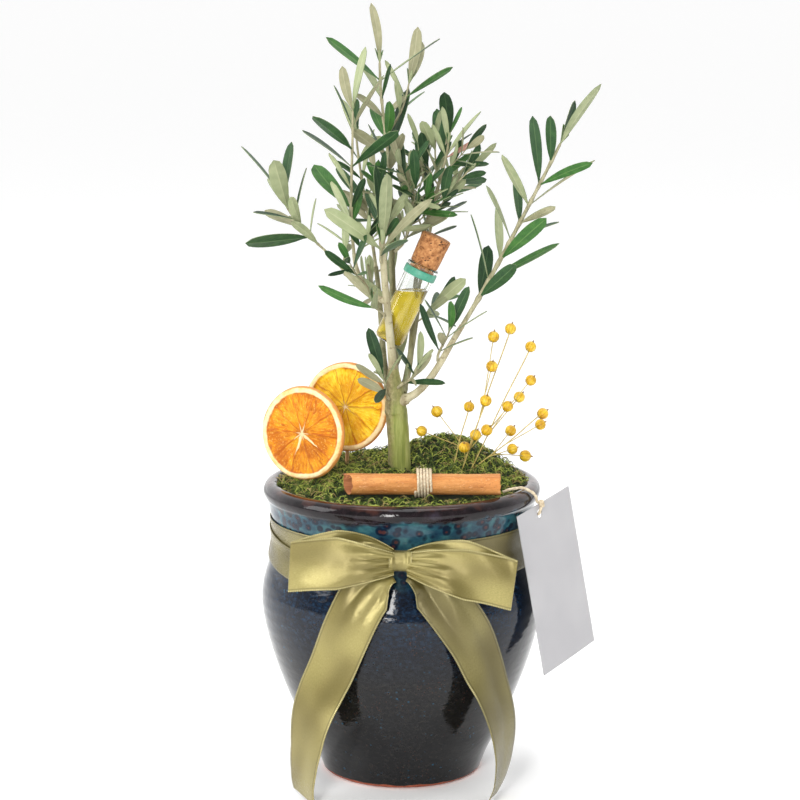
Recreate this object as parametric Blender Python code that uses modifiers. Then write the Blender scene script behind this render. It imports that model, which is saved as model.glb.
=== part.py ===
"""A small potted olive tree, dressed as a gift.

The tree stands in moss in a round glazed pot. A satin ribbon is tied round the pot's neck in a
bow, a blank paper tag hangs from the lip, and a corked oil bottle, dried orange slices, a
cinnamon stick and dried flax are set in among the stems and the moss.

Lengths are in metres and +Z is up. The front of the pot faces -Y. The origin is the middle of
the pot's flat underside.
"""

import math
import random

import bmesh
import bpy
from mathutils import Matrix, Vector
from mathutils.bvhtree import BVHTree

NAME = "potted_olive_tree"
GAP = 0.0003
WELD = 0.000001

# Pot: its outer outline as (radius, height), from the crown of the lip down to the underside
POT_OUTLINE = (
    (0.0662, 0.1513), (0.0690, 0.1502), (0.0704, 0.1478), (0.0705, 0.1460), (0.0698, 0.1440),
    (0.0686, 0.1422), (0.0676, 0.1380), (0.0662, 0.1300), (0.0655, 0.1220), (0.0661, 0.1160),
    (0.0684, 0.1090), (0.0710, 0.1000), (0.0720, 0.0925), (0.0716, 0.0850), (0.0700, 0.0760),
    (0.0674, 0.0660), (0.0641, 0.0556), (0.0602, 0.0450), (0.0552, 0.0330), (0.0498, 0.0215),
    (0.0446, 0.0110), (0.0418, 0.0040), (0.0407, 0.0012), (0.0388, 0.0),
)
POT_WALL = 0.006
POT_FLOOR = 0.007
POT_STEPS = 36
LIP_INNER = ((0.0618, 0.1440), (0.0618, 0.1480), (0.0634, 0.1506))

# Soil and moss
SOIL_TOP = 0.138
MOSS_RADIUS = 0.0612
MOSS_STEPS = 28
MOSS_RINGS = 6
MOSS_EDGE = 0.1490
MOSS_DOME = 0.0075
MOSS_BACK_RISE = 0.0035
MOSS_HUMP = 0.0110
MOSS_HUMP_PLACE = Vector((0.026, 0.034))
MOSS_HUMP_WIDTH = 0.017
MOSS_NOISE = 0.0007
MOSS_SEED = 5

# Trunk: centres and radii from the flat cut on the soil up to the fork
TRUNK = (
    (Vector((-0.0004, 0.0, SOIL_TOP + GAP)), 0.0069),
    (Vector((-0.0006, 0.0, 0.1430)), 0.0062),
    (Vector((-0.0010, 0.0, 0.1520)), 0.0058),
    (Vector((-0.0017, 0.0, 0.1700)), 0.0056),
    (Vector((-0.0027, -0.0002, 0.1840)), 0.0055),
    (Vector((-0.0030, -0.0004, 0.1870)), 0.0058),
    (Vector((-0.0032, -0.0006, 0.1900)), 0.0053),
    (Vector((-0.0036, -0.0011, 0.1970)), 0.0045),
    (Vector((-0.0041, -0.0020, 0.2040)), 0.0033),
    (Vector((-0.0045, -0.0028, 0.2090)), 0.0025),
)
BOUGH_RINGS = 8
STEM_RINGS = 7
TWIG_RINGS = 4

# Cinnamon stick
STICK_CENTRE = Vector((0.0096, -0.0395, 0.1576))
STICK_LENGTH = 0.0785
STICK_RADIUS = 0.0060
STICK_WALL = 0.0011
STICK_TURN = math.radians(-1.0)
STICK_BED = 0.009
WRAP_TURNS = 5
WRAP_PITCH = 0.0017
WRAP_DEPTH = 0.0010

# Orange slices: centre, radius, turn about the vertical and backward lean
SLICE_THICKNESS = 0.0042
SLICES = {
    "front": (Vector((-0.0496, -0.0110, 0.1773)), 0.0240, math.radians(-28.0), math.radians(4.0)),
    "back": (Vector((-0.0285, 0.0150, 0.1862)), 0.0232, math.radians(-20.0), math.radians(6.0)),
}
PICK_RADIUS = 0.0011
PICK_DEPTH = 0.007

# Oil bottle: the middle of its underside, its lean to the right and its sizes
BOTTLE_FOOT = Vector((-0.0071, 0.0046, 0.2217))
BOTTLE_LEAN = math.radians(24.9)
BOTTLE_RADIUS = 0.0076
BOTTLE_WALL = 0.0008
BOTTLE_HEIGHT = 0.0430
BOTTLE_STEPS = 18
OIL_LEVEL = 0.2475
CORK_DEPTH = 0.0050
CORK_HEIGHT = 0.0160

# Flax: for each sprig its foot and, for each pod, the stem's length and lean in the photo's
# plane and its lean towards the back; the first pod ends the main stem
FLAX_FOOT = Vector((0.0310, 0.0030, 0.0))
FLAX_DEPTH = 0.006
FLAX_STEM = 0.00045
FLAX_POD = 0.0027
FLAX_SPRIGS = (
    ((0.0000, 0.0000), ((0.0750, 19, 6), (0.0690, 13, 2), (0.0560, 15, -8))),
    ((0.0035, -0.0035), ((0.0720, 25, -4), (0.0580, 32, -10), (0.0460, 33, 0), (0.0410, 28, -14))),
    ((-0.0010, -0.0060), ((0.0430, 17, -18), (0.0290, 28, -24), (0.0215, 20, -10), (0.0160, 6, -26))),
    ((0.0060, 0.0010), ((0.0450, 51, 4), (0.0410, 55, -6), (0.0270, 44, 8), (0.0220, 62, -2),
                        (0.0270, 76, 6))),
    ((-0.0050, -0.0010), ((0.0320, 15, 6), (0.0300, -16, 0), (0.0250, -40, -6))),
)

# Ribbon
RIBBON_THICKNESS = 0.0006
RIBBON_WIDTH = 0.025
BAND_TOP = 0.1335
BAND_WAIST = 0.1220
BAND_BOTTOM = 0.1120
KNOT_CENTRE = Vector((-0.0008, -0.0724, 0.1258))
KNOT_SIZE = Vector((0.0115, 0.0090, 0.0105))

LOOP_BULGE = 0.0046
LOOP_FOOT = 0.0016
LOOP_FORWARD = 0.0016
# Bow loops: side, reach of the far end, drop of the far end and rise of the middle
LOOPS = {
    "left": (-1, 0.0535, -0.0015, 0.0022),
    "right": (1, 0.0545, -0.0120, 0.0010),
}
# Bow tails: for each station the centre of the ribbon and the turn of its face about the vertical
TAILS = {
    "left": (
        (Vector((-0.0050, -0.0742, 0.1195)), 4), (Vector((-0.0120, -0.0762, 0.1165)), 8),
        (Vector((-0.0200, -0.0752, 0.1060)), 14), (Vector((-0.0285, -0.0712, 0.0865)), 20),
        (Vector((-0.0350, -0.0690, 0.0710)), 27), (Vector((-0.0398, -0.0676, 0.0590)), 33),
        (Vector((-0.0460, -0.0655, 0.0400)), 45), (Vector((-0.0488, -0.0640, 0.0250)), 56),
        (Vector((-0.0490, -0.0620, 0.0120)), 62), (Vector((-0.0480, -0.0605, 0.0026)), 64),
    ),
    "right": (
        (Vector((0.0040, -0.0742, 0.1205)), -4), (Vector((0.0130, -0.0765, 0.1160)), -8),
        (Vector((0.0220, -0.0757, 0.1050)), -16), (Vector((0.0335, -0.0702, 0.0865)), -25),
        (Vector((0.0405, -0.0672, 0.0710)), -35), (Vector((0.0448, -0.0652, 0.0590)), -48),
        (Vector((0.0495, -0.0630, 0.0400)), -58), (Vector((0.0508, -0.0620, 0.0250)), -68),
        (Vector((0.0490, -0.0610, 0.0120)), -74), (Vector((0.0450, -0.0605, 0.0026)), -76),
    ),
}

# Tag: its middle, its turn about the vertical, the lean of its top to the pot and its own roll
TAG_CENTRE = Vector((0.0782, -0.0205, 0.1034))
TAG_SIZE = Vector((0.0503, 0.0006, 0.0837))
TAG_TURN = math.radians(54.8)
TAG_LEAN = math.radians(6.8)
TAG_ROLL = math.radians(7.8)
TAG_HOLE = Vector((-0.0055, 0.0372))
TAG_HOLE_RADIUS = 0.0022
TWINE_RADIUS = 0.0008
# Twine over the lip, from one direction about the pot to another: share of the turn, distance from
# the pot's axis and height
TWINE_WAYS = (Vector((0.860, -0.510, 0.0)), Vector((0.930, -0.368, 0.0)))
TWINE_OVER_LIP = ((0.0, 0.0585, 0.1508), (0.15, 0.0605, 0.1518), (0.30, 0.0634, 0.1526),
                  (0.55, 0.0668, 0.1528), (0.80, 0.0708, 0.1504), (0.95, 0.0722, 0.1480))

# Leaves
LEAF_THICKNESS = 0.0006
LEAF_RINGS = ((0.0, 0.16), (0.42, 1.0), (0.78, 0.72))
LEAF_SLIM = (0.21, 0.33)
LEAF_NARROW_CHANCE = 0.25
LEAF_CURL = 0.10
CROWN_LOW = 0.166
CROWN_TOP = 0.3925
CROWN_RIGHT = 0.0965
CROWN_LEFT = -0.0810

# Boughs: parent limb, share of its length (None for its tip), outward direction there, starting
# direction, far end, direction at the far end, radius at the foot and at the far end
BOUGHS = {
    "bough_front": ("trunk", None, None, None, (-0.0104, -0.0120, 0.2920), (0.0, 0.0, 1.0),
                    0.0021, 0.0015),
    "bough_leader": ("trunk", 0.85, (0.1, 1.0, 0.0), (0.0, 0.85, 0.55), (-0.0055, 0.0140, 0.2930),
                     (0.0, -0.05, 1.0), 0.0019, 0.0013),
    "bough_upper_right": ("trunk", 0.78, (0.75, 0.66, 0.0), (0.28, 0.78, 0.56),
                          (0.0120, 0.0175, 0.2790), (0.3, -0.05, 1.0), 0.0017, 0.0012),
    "bough_right": ("trunk", 0.72, (0.9, -0.43, 0.0), (0.85, -0.35, 0.40),
                    (0.0300, -0.0150, 0.2325), (0.55, -0.05, 0.85), 0.0020, 0.0014),
    "bough_left": ("bough_front", 0.45, (-1.0, 0.1, 0.0), (-1.0, 0.1, 0.35),
                   (-0.0240, -0.0080, 0.2680), (-0.05, 0.05, 1.0), 0.0012, 0.0010),
    "bough_far_left": ("bough_left", 0.50, (-1.0, 0.1, 0.0), (-1.0, 0.1, 0.45),
                       (-0.0360, -0.0080, 0.2672), (-0.75, 0.0, 0.65), 0.0009, 0.0008),
    "bough_back_left": ("trunk", 0.78, (-0.55, 0.83, 0.0), (-0.18, 0.84, 0.50),
                        (-0.0135, 0.0360, 0.2560), (-0.15, 0.1, 1.0), 0.0018, 0.0012),
    "bough_back_right": ("trunk", 0.64, (0.35, 0.93, 0.0), (0.18, 0.90, 0.40),
                         (0.0115, 0.0400, 0.2560), (0.15, 0.1, 1.0), 0.0018, 0.0012),
}

# Foliage masses: parent limb, share of its length (None for its tip), outward direction, starting
# direction, far end of the stem, direction there, stem radius, leaf pairs, leaf length, turn of
# the first pair in degrees, side twigs and seed
MASSES = {
    "leaves_top": ("bough_leader", None, None, None, (-0.0112, 0.0110, 0.3625), (0.0, -0.03, 1.0),
                   0.0011, 7, 0.0327, 25, 1, 852),
    "leaves_left": ("bough_left", None, None, None, (-0.0243, -0.0080, 0.3396), (0.0, 0.0, 1.0),
                    0.0009, 7, 0.0315, 135, 0, 2),
    "leaves_far_left": ("bough_far_left", None, None, None, (-0.0590, -0.0080, 0.2960),
                        (-0.25, 0.0, 1.0), 0.0007, 6, 0.0339, 15, 0, 1471),
    "leaves_upper_right": ("bough_upper_right", None, None, None, (0.0234, 0.0140, 0.3218),
                           (0.1, 0.0, 1.0), 0.0010, 6, 0.0266, 140, 3, 614),
    "leaves_centre": ("bough_leader", 0.74, (1.0, -0.5, 0.0), (0.8, -0.3, 0.6),
                      (0.0060, 0.0060, 0.2990), (0.1, 0.0, 1.0), 0.0009, 5, 0.0275, 75, 1, 2992),
    "leaves_right": ("bough_right", None, None, None, (0.0785, -0.0140, 0.3239), (0.45, 0.0, 0.9),
                     0.0013, 9, 0.0363, 25, 0, 356),
    "leaves_right_low": ("bough_right", 0.60, (-0.5, -0.6, 0.5), (-0.1, -0.4, 0.9),
                         (0.0235, -0.0210, 0.2310), (0.2, -0.2, 1.0), 0.0008, 4, 0.0242, 60, 0,
                         2626),
    "leaves_low_right": ("trunk", 0.83, (0.45, -0.9, 0.0), (0.4, -0.7, 0.6),
                         (0.0080, -0.0160, 0.2110), (0.2, -0.2, 1.0), 0.0009, 4, 0.0207, 120, 0,
                         434),
    "leaves_low_left": ("trunk", 0.74, (-0.6, -0.8, 0.0), (-0.5, -0.6, 0.6),
                        (-0.0095, -0.0140, 0.2055), (-0.5, -0.3, 1.0), 0.0008, 4, 0.0266, 60, 0,
                        2790),
    "leaves_front_mid": ("bough_front", 0.36, (-0.6, -0.8, 0.0), (-0.5, -0.6, 0.8),
                         (-0.0150, -0.0190, 0.2460), (-0.2, -0.1, 1.0), 0.0008, 2, 0.0297, 40, 0,
                         467),
    "leaves_front_high": ("bough_front", 0.68, (-0.4, -0.9, 0.0), (-0.3, -0.6, 0.8),
                          (-0.0098, -0.0190, 0.2742), (-0.1, -0.1, 1.0), 0.0008, 3, 0.0399, 10, 0,
                          1263),
    "leaves_back_left": ("bough_back_left", None, None, None, (-0.0235, 0.0400, 0.3220),
                         (-0.1, 0.0, 1.0), 0.0010, 6, 0.0270, 50, 1, 27),
    "leaves_back_right": ("bough_back_right", None, None, None, (0.0235, 0.0420, 0.3230),
                          (0.15, 0.0, 1.0), 0.0010, 6, 0.0270, 40, 1, 23),
    "leaves_back": ("trunk", 0.60, (-0.15, 0.98, 0.0), (-0.1, 0.8, 0.5),
                    (-0.0060, 0.0330, 0.2480), (0.0, 0.3, 1.0), 0.0009, 5, 0.0240, 30, 0, 24),
}

COLOURS = {
    "pot": ((0.020, 0.040, 0.070), 0.12),
    "soil": ((0.045, 0.030, 0.020), 0.95),
    "moss": ((0.075, 0.110, 0.025), 0.95),
    "trunk": ((0.200, 0.210, 0.090), 0.80),
    "bough": ((0.420, 0.380, 0.250), 0.75),
    "leaves": ((0.060, 0.130, 0.050), 0.50),
    "glass": ((0.900, 0.950, 0.930), 0.03),
    "oil": ((0.600, 0.450, 0.050), 0.10),
    "cork": ((0.550, 0.330, 0.150), 0.85),
    "mint": ((0.130, 0.500, 0.300), 0.40),
    "orange": ((0.850, 0.330, 0.040), 0.60),
    "wood": ((0.650, 0.480, 0.280), 0.70),
    "cinnamon": ((0.520, 0.230, 0.080), 0.80),
    "twine": ((0.550, 0.450, 0.290), 0.90),
    "flax": ((0.750, 0.480, 0.050), 0.70),
    "satin": ((0.430, 0.400, 0.150), 0.35),
    "paper": ((0.700, 0.690, 0.700), 0.80),
}


def clear_scene():
    for item in list(bpy.data.objects):
        bpy.data.objects.remove(item, do_unlink=True)


def make_collection(name):
    collection = bpy.data.collections.new(name)
    bpy.context.scene.collection.children.link(collection)
    return collection


def make_material(name, finish):
    colour, roughness = COLOURS[finish]
    material = bpy.data.materials.new(name)
    material.use_nodes = True
    shader = material.node_tree.nodes["Principled BSDF"]
    shader.inputs["Base Color"].default_value = (*colour, 1.0)
    shader.inputs["Roughness"].default_value = roughness
    shader.inputs["Metallic"].default_value = 0.0
    if finish == "glass":
        shader.inputs["Transmission Weight"].default_value = 1.0
    material.diffuse_color = (*colour, 1.0)
    return material


def add_part(name, data, finish):
    """Put a mesh or a curve in the parts' collection, as an object with its own material."""
    part = bpy.data.objects.new(name, data)
    PARTS.objects.link(part)
    data.materials.clear()
    data.materials.append(make_material(name, finish))
    return part


def shade(mesh):
    mesh.shade_smooth()
    mesh.set_sharp_from_angle(angle=math.radians(40.0))


def fix(part):
    """Replace a curve, or a mesh with modifiers, by the plain mesh that it makes."""
    name = part.name
    graph = bpy.context.evaluated_depsgraph_get()
    mesh = bpy.data.meshes.new_from_object(part.evaluated_get(graph))
    work = bmesh.new()
    work.from_mesh(mesh)
    bmesh.ops.remove_doubles(work, verts=work.verts, dist=WELD)
    clean_joins(work)
    bmesh.ops.recalc_face_normals(work, faces=work.faces)
    work.to_mesh(mesh)
    work.free()
    solid = bpy.data.objects.new(name, mesh)
    solid.matrix_world = part.matrix_world
    for holder in part.users_collection:
        holder.objects.link(solid)
    bpy.data.objects.remove(part, do_unlink=True)
    solid.name = name
    mesh.name = name
    shade(mesh)
    return solid


def clean_joins(work):
    """Drop corners that lie along a straight edge, and faces folded flat onto each other."""
    straight = [vertex for vertex in work.verts if len(vertex.link_edges) == 2]
    bmesh.ops.dissolve_verts(work, verts=straight)
    bmesh.ops.triangulate(work, faces=work.faces)
    first_seen = {}
    folded = []
    for face in work.faces:
        corners = frozenset(face.verts)
        if corners in first_seen:
            folded += [face, first_seen[corners]]
        first_seen[corners] = face
    bmesh.ops.delete(work, geom=folded, context="FACES")


def mesh_from(work, name):
    mesh = bpy.data.meshes.new(name)
    bmesh.ops.recalc_face_normals(work, faces=work.faces)
    work.to_mesh(mesh)
    work.free()
    return mesh


def turned(name, outline, steps, finish, closed=False):
    """Turn an outline of (radius, height) points about Z."""
    points = [(radius, 0.0, height) for radius, height in outline]
    edges = [(index, index + 1) for index in range(len(points) - 1)]
    if closed:
        edges.append((len(points) - 1, 0))
    mesh = bpy.data.meshes.new(name)
    mesh.from_pydata(points, edges, [])
    part = add_part(name, mesh, finish)
    screw = part.modifiers.new("Turn", "SCREW")
    screw.axis = "Z"
    screw.steps = steps
    screw.render_steps = steps
    screw.use_merge_vertices = True
    screw.merge_threshold = 0.00002
    return part


def tube(name, points, radii, resolution, finish):
    """Run a round tube with closed ends along points, with a radius at each."""
    curve = bpy.data.curves.new(name, "CURVE")
    curve.dimensions = "3D"
    curve.bevel_depth = 1.0
    curve.bevel_resolution = resolution
    curve.use_fill_caps = True
    spline = curve.splines.new("POLY")
    spline.points.add(len(points) - 1)
    for knot, point, radius in zip(spline.points, points, radii):
        knot.co = (*point, 1.0)
        knot.radius = radius
    return fix(add_part(name, curve, finish))


def strip(name, centres, widths, directions, thickness, finish):
    """Lay a strip of ribbon through centres, with a width and a width direction at each."""
    work = bmesh.new()
    rows = []
    for centre, width, direction in zip(centres, widths, directions):
        half = direction.normalized() * (width / 2.0)
        rows.append([work.verts.new(centre + half * share) for share in (-1.0, 0.0, 1.0)])
    for low, high in zip(rows, rows[1:]):
        for index in range(2):
            work.faces.new((low[index], low[index + 1], high[index + 1], high[index]))
    part = add_part(name, mesh_from(work, name), finish)
    solidify = part.modifiers.new("Thickness", "SOLIDIFY")
    solidify.thickness = thickness
    solidify.offset = 0.0
    return part


def outline_radius(height):
    """Radius of the pot's outside at a height."""
    for (upper_radius, upper), (lower_radius, lower) in zip(POT_OUTLINE, POT_OUTLINE[1:]):
        if lower <= height <= upper:
            share = (height - lower) / (upper - lower)
            return lower_radius + (upper_radius - lower_radius) * share
    return POT_OUTLINE[-1][0]


def bezier(start, first, second, end, share):
    rest = 1.0 - share
    return (start * rest ** 3 + first * (3.0 * rest * rest * share)
            + second * (3.0 * rest * share * share) + end * share ** 3)


class Limb:
    """Centres and radii along one tapering limb."""

    def __init__(self, centres, radii):
        self.centres = centres
        self.radii = radii

    def at(self, share):
        """Centre, direction and radius at a share of the limb's stations."""
        place = share * (len(self.centres) - 1)
        index = min(int(place), len(self.centres) - 2)
        rest = place - index
        low, high = self.centres[index], self.centres[index + 1]
        radius = self.radii[index] * (1.0 - rest) + self.radii[index + 1] * rest
        return low.lerp(high, rest), (high - low).normalized(), radius

    def seat(self, share, outward, leaving, radius):
        """Where a smaller limb starts, just clear of this one, and its direction there."""
        if share is None:
            centre, axis, _ = self.at(1.0)
            return centre + axis * GAP, axis
        centre, axis, own_radius = self.at(share)
        outward = (outward - axis * outward.dot(axis)).normalized()
        leaving = leaving.normalized()
        lift = radius * math.sin(outward.angle(leaving))
        return centre + outward * (own_radius + GAP + lift), leaving


def curved_limb(start, leaving, end, arriving, radii, rings):
    span = (end - start).length
    first = start + leaving.normalized() * span * 0.30
    second = end - arriving.normalized() * span * 0.34
    centres = [bezier(start, first, second, end, ring / (rings - 1)) for ring in range(rings)]
    foot, tip = radii
    return Limb(centres, [foot + (tip - foot) * ring / (rings - 1) for ring in range(rings)])


def rings_to_mesh(rings, tip, name):
    """Join rings of corners into a closed skin, with a flat first end and a point or a flat end."""
    work = bmesh.new()
    loops = [[work.verts.new(corner) for corner in ring] for ring in rings]
    count = len(loops[0])
    for low, high in zip(loops, loops[1:]):
        for index in range(count):
            after = (index + 1) % count
            work.faces.new((low[index], low[after], high[after], high[index]))
    work.faces.new(loops[0])
    if tip is None:
        work.faces.new(loops[-1])
    else:
        point = work.verts.new(tip)
        for index in range(count):
            work.faces.new((loops[-1][index], loops[-1][(index + 1) % count], point))
    return mesh_from(work, name)


def frame_across(axis):
    """Two directions across an axis: the first as near to the front as it can be."""
    front = Vector((0.0, -1.0, 0.0))
    if abs(axis.dot(front)) > 0.95:
        front = Vector((0.0, 0.0, 1.0))
    first = (front - axis * front.dot(axis)).normalized()
    return first, axis.cross(first)


def leaf_at(base, axis, turn, spread, length, slim, twist):
    """One leaf: it leaves base at an angle to axis and shows its upper side to the stem's tip."""
    first, second = frame_across(axis)
    outward = first * math.cos(turn) + second * math.sin(turn)
    along = axis * math.cos(spread) + outward * math.sin(spread)
    upper = axis * math.sin(spread) - outward * math.cos(spread)
    upper.rotate(Matrix.Rotation(twist, 3, along))
    return {"base": base, "along": along, "upper": upper, "length": length, "width": length * slim}


def leaf_pairs(limb, pairs, first_share, leaf_length, turn, chance):
    """Opposite pairs of leaves along a stem, each pair turned a quarter from the one before."""
    leaves = []
    for pair in range(pairs):
        share = first_share + (1.0 - first_share) * (pair + 1) / pairs
        share = min(share + chance.uniform(-0.02, 0.02), 0.985)
        base, axis, _ = limb.at(share)
        pair_turn = turn + math.radians(90.0 * pair + chance.uniform(-18.0, 18.0))
        for side in range(2):
            spread = math.radians(chance.uniform(22.0, 60.0))
            if pair == pairs - 1:
                spread = math.radians(chance.uniform(6.0, 26.0))
            length = leaf_length * chance.uniform(0.60, 1.12)
            slim = chance.uniform(*LEAF_SLIM)
            if chance.random() < LEAF_NARROW_CHANCE:
                slim = LEAF_SLIM[0] * 0.75
            twist = math.radians(chance.uniform(-35.0, 35.0))
            leaf_turn = pair_turn + math.pi * side
            leaves.append(leaf_at(base, axis, leaf_turn, spread, length, slim, twist))
    return leaves


def grow(limb, pairs, leaf_length, turn, twigs, seed):
    """Twigs and leaves of one mass, from its stem and its seed."""
    chance = random.Random(seed)
    turn = math.radians(turn)
    branches = [(limb, leaf_pairs(limb, pairs, 0.06, leaf_length, turn, chance))]
    for twig in range(twigs):
        share = 0.22 + 0.42 * (twig + chance.uniform(0.2, 0.8)) / twigs
        base, axis, radius = limb.at(share)
        first, second = frame_across(axis)
        twig_turn = turn + math.radians(90.0 + 180.0 * twig + chance.uniform(-30.0, 30.0))
        outward = first * math.cos(twig_turn) + second * math.sin(twig_turn)
        leaving = (axis * 0.75 + outward).normalized()
        span = (limb.centres[-1] - limb.centres[0]).length * chance.uniform(0.34, 0.50)
        end = base + leaving * span * 0.75 + axis * span * 0.35
        side = curved_limb(base, leaving, end, axis + outward * 0.3,
                           (radius * 0.75, radius * 0.55), TWIG_RINGS)
        leaves = leaf_pairs(side, 2 + chance.randrange(2), 0.25, leaf_length * 0.85,
                            twig_turn + 0.6, chance)
        branches.append((side, leaves))
    return branches


def leaf_mesh(leaf, extra, name):
    """A thin pointed leaf, flat above and keeled below, drawn back a little to its tip."""
    side = leaf["along"].cross(leaf["upper"]).normalized()
    depth = LEAF_THICKNESS + extra
    rings = []
    for share, fullness in LEAF_RINGS:
        back = leaf["upper"] * (-LEAF_CURL * leaf["length"] * share * share)
        centre = leaf["base"] + leaf["along"] * (leaf["length"] * share) + back
        half_width = max(leaf["width"] / 2.0 * fullness, LEAF_THICKNESS * 0.7) + extra
        top = centre + leaf["upper"] * extra
        rings.append([top - side * half_width, centre - leaf["upper"] * depth,
                      top + side * half_width])
    tip = leaf["base"] + leaf["along"] * leaf["length"] - leaf["upper"] * LEAF_CURL * leaf["length"]
    return rings_to_mesh(rings, tip + leaf["along"] * extra, name)


def limb_mesh(limb, sides, extra, name):
    rings = []
    for index, centre in enumerate(limb.centres):
        _, axis, _ = limb.at(index / (len(limb.centres) - 1))
        first, second = frame_across(axis)
        radius = limb.radii[index] + extra
        ring = []
        for corner in range(sides):
            angle = 2.0 * math.pi * corner / sides
            ring.append(centre + (first * math.cos(angle) + second * math.sin(angle)) * radius)
        rings.append(ring)
    return rings_to_mesh(rings, None, name)


def tree_of(mesh):
    """Search tree of a mesh's faces, to find what it touches."""
    return BVHTree.FromPolygons([vertex.co.copy() for vertex in mesh.vertices],
                                [tuple(face.vertices) for face in mesh.polygons])


def placed_tree(part):
    graph = bpy.context.evaluated_depsgraph_get()
    shown = part.evaluated_get(graph)
    mesh = shown.to_mesh()
    corners = [part.matrix_world @ vertex.co for vertex in mesh.vertices]
    faces = [tuple(face.vertices) for face in mesh.polygons]
    shown.to_mesh_clear()
    return BVHTree.FromPolygons(corners, faces)


def touches(mesh, obstacles):
    own = tree_of(mesh)
    hit = any(own.overlap(obstacle) for obstacle in obstacles)
    bpy.data.meshes.remove(mesh)
    return hit


def fuse(part, pieces):
    """Join pieces to a part in one Boolean union, and keep the largest body."""
    holder = bpy.data.collections.new(part.name + "_pieces")
    for index, mesh in enumerate(pieces):
        holder.objects.link(bpy.data.objects.new(f"{part.name}_piece_{index}", mesh))
    union = part.modifiers.new("Join", "BOOLEAN")
    union.operation = "UNION"
    union.operand_type = "COLLECTION"
    union.collection = holder
    union.solver = "EXACT"
    whole = fix(part)
    for item in list(holder.objects):
        bpy.data.objects.remove(item, do_unlink=True)
    bpy.data.collections.remove(holder)
    keep_largest_body(whole.data)
    return whole


def keep_largest_body(mesh):
    work = bmesh.new()
    work.from_mesh(mesh)
    unseen = set(work.verts)
    bodies = []
    while unseen:
        body = {unseen.pop()}
        edge_of_search = list(body)
        while edge_of_search:
            vertex = edge_of_search.pop()
            for edge in vertex.link_edges:
                other = edge.other_vert(vertex)
                if other in unseen:
                    unseen.remove(other)
                    body.add(other)
                    edge_of_search.append(other)
        bodies.append(body)
    bodies.sort(key=len)
    for scrap in bodies[:-1]:
        bmesh.ops.delete(work, geom=list(scrap), context="VERTS")
    work.to_mesh(mesh)
    work.free()


def drill(part, lines):
    """Cut round holes along lines of (low end, high end, radius)."""
    for index, (low, high, radius) in enumerate(lines):
        work = bmesh.new()
        length = (high - low).length
        bmesh.ops.create_cone(work, cap_ends=True, segments=8, radius1=radius, radius2=radius,
                              depth=length)
        turn = (high - low).to_track_quat("Z", "Y").to_matrix().to_4x4()
        turn.translation = (low + high) / 2.0
        work.transform(turn)
        cutter = bpy.data.objects.new(f"{part.name}_hole_{index}", mesh_from(work, "hole"))
        CUTTERS.objects.link(cutter)
        cutter.hide_render = True
        cutter.display_type = "WIRE"
        cut = part.modifiers.new(f"Hole {index}", "BOOLEAN")
        cut.operation = "DIFFERENCE"
        cut.object = cutter
        cut.solver = "EXACT"


def make_pot():
    inner = [(radius - POT_WALL, height) for radius, height in POT_OUTLINE[6:-3:2]]
    inner.reverse()
    floor = [(0.0, POT_FLOOR), (inner[0][0] - 0.003, POT_FLOOR)]
    turned("pot", floor + inner + list(LIP_INNER) + list(POT_OUTLINE) + [(0.0, 0.0)],
           POT_STEPS, "pot")


def make_soil():
    side = [(radius - POT_WALL - GAP, height) for radius, height in POT_OUTLINE[6:-3:2]
            if height <= SOIL_TOP]
    bottom = [(side[-1][0] - 0.003, POT_FLOOR + GAP), (0.0, POT_FLOOR + GAP)]
    turned("soil", [(0.0, SOIL_TOP)] + side + bottom, POT_STEPS, "soil")


def moss_height(x, y):
    """Height of the moss: a low dome that rises to the back, with a hump behind the trunk."""
    reach = math.hypot(x, y) / MOSS_RADIUS
    height = MOSS_EDGE + MOSS_DOME * (1.0 - reach ** 2) + MOSS_BACK_RISE * (y / MOSS_RADIUS)
    from_hump = (Vector((x, y)) - MOSS_HUMP_PLACE).length / MOSS_HUMP_WIDTH
    height += MOSS_HUMP * math.exp(-0.5 * from_hump ** 2)
    near_stick = abs(y - STICK_CENTRE.y) < STICK_RADIUS + STICK_BED
    along_stick = abs(x - STICK_CENTRE.x) < STICK_LENGTH / 2.0 + STICK_BED
    if near_stick and along_stick:
        height = min(height, STICK_CENTRE.z - STICK_RADIUS - WRAP_DEPTH - 2.0 * GAP)
    return height


def flax_direction(lean, back):
    lean = math.radians(lean)
    back = math.radians(back)
    flat = Vector((math.sin(lean), math.tan(back) * math.cos(lean), math.cos(lean)))
    return flat.normalized()


def flax_foot(offset):
    x = FLAX_FOOT.x + offset[0]
    y = FLAX_FOOT.y + offset[1]
    return Vector((x, y, moss_height(x, y)))


def pick_line(slice_name):
    """Low and high ends of the pick behind an orange slice."""
    centre, radius, _, _ = SLICES[slice_name]
    facing = slice_matrix(slice_name).to_3x3() @ Vector((0.0, 0.0, 1.0))
    behind = centre - facing * (SLICE_THICKNESS / 2.0 + PICK_RADIUS + GAP)
    down = slice_matrix(slice_name).to_3x3() @ Vector((0.0, -1.0, 0.0))
    high = behind - down * radius * 0.30
    low = behind + down * radius * 0.5
    while low.z > moss_height(low.x, low.y) - PICK_DEPTH:
        low += down * 0.0005
    return low, high


def slice_matrix(slice_name):
    """A slice lies flat in its own frame and is stood up facing the front."""
    centre, _, turn, lean = SLICES[slice_name]
    stand = Matrix.Rotation(math.pi / 2.0 - lean, 4, "X")
    return Matrix.Translation(centre) @ Matrix.Rotation(turn, 4, "Z") @ stand


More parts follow.
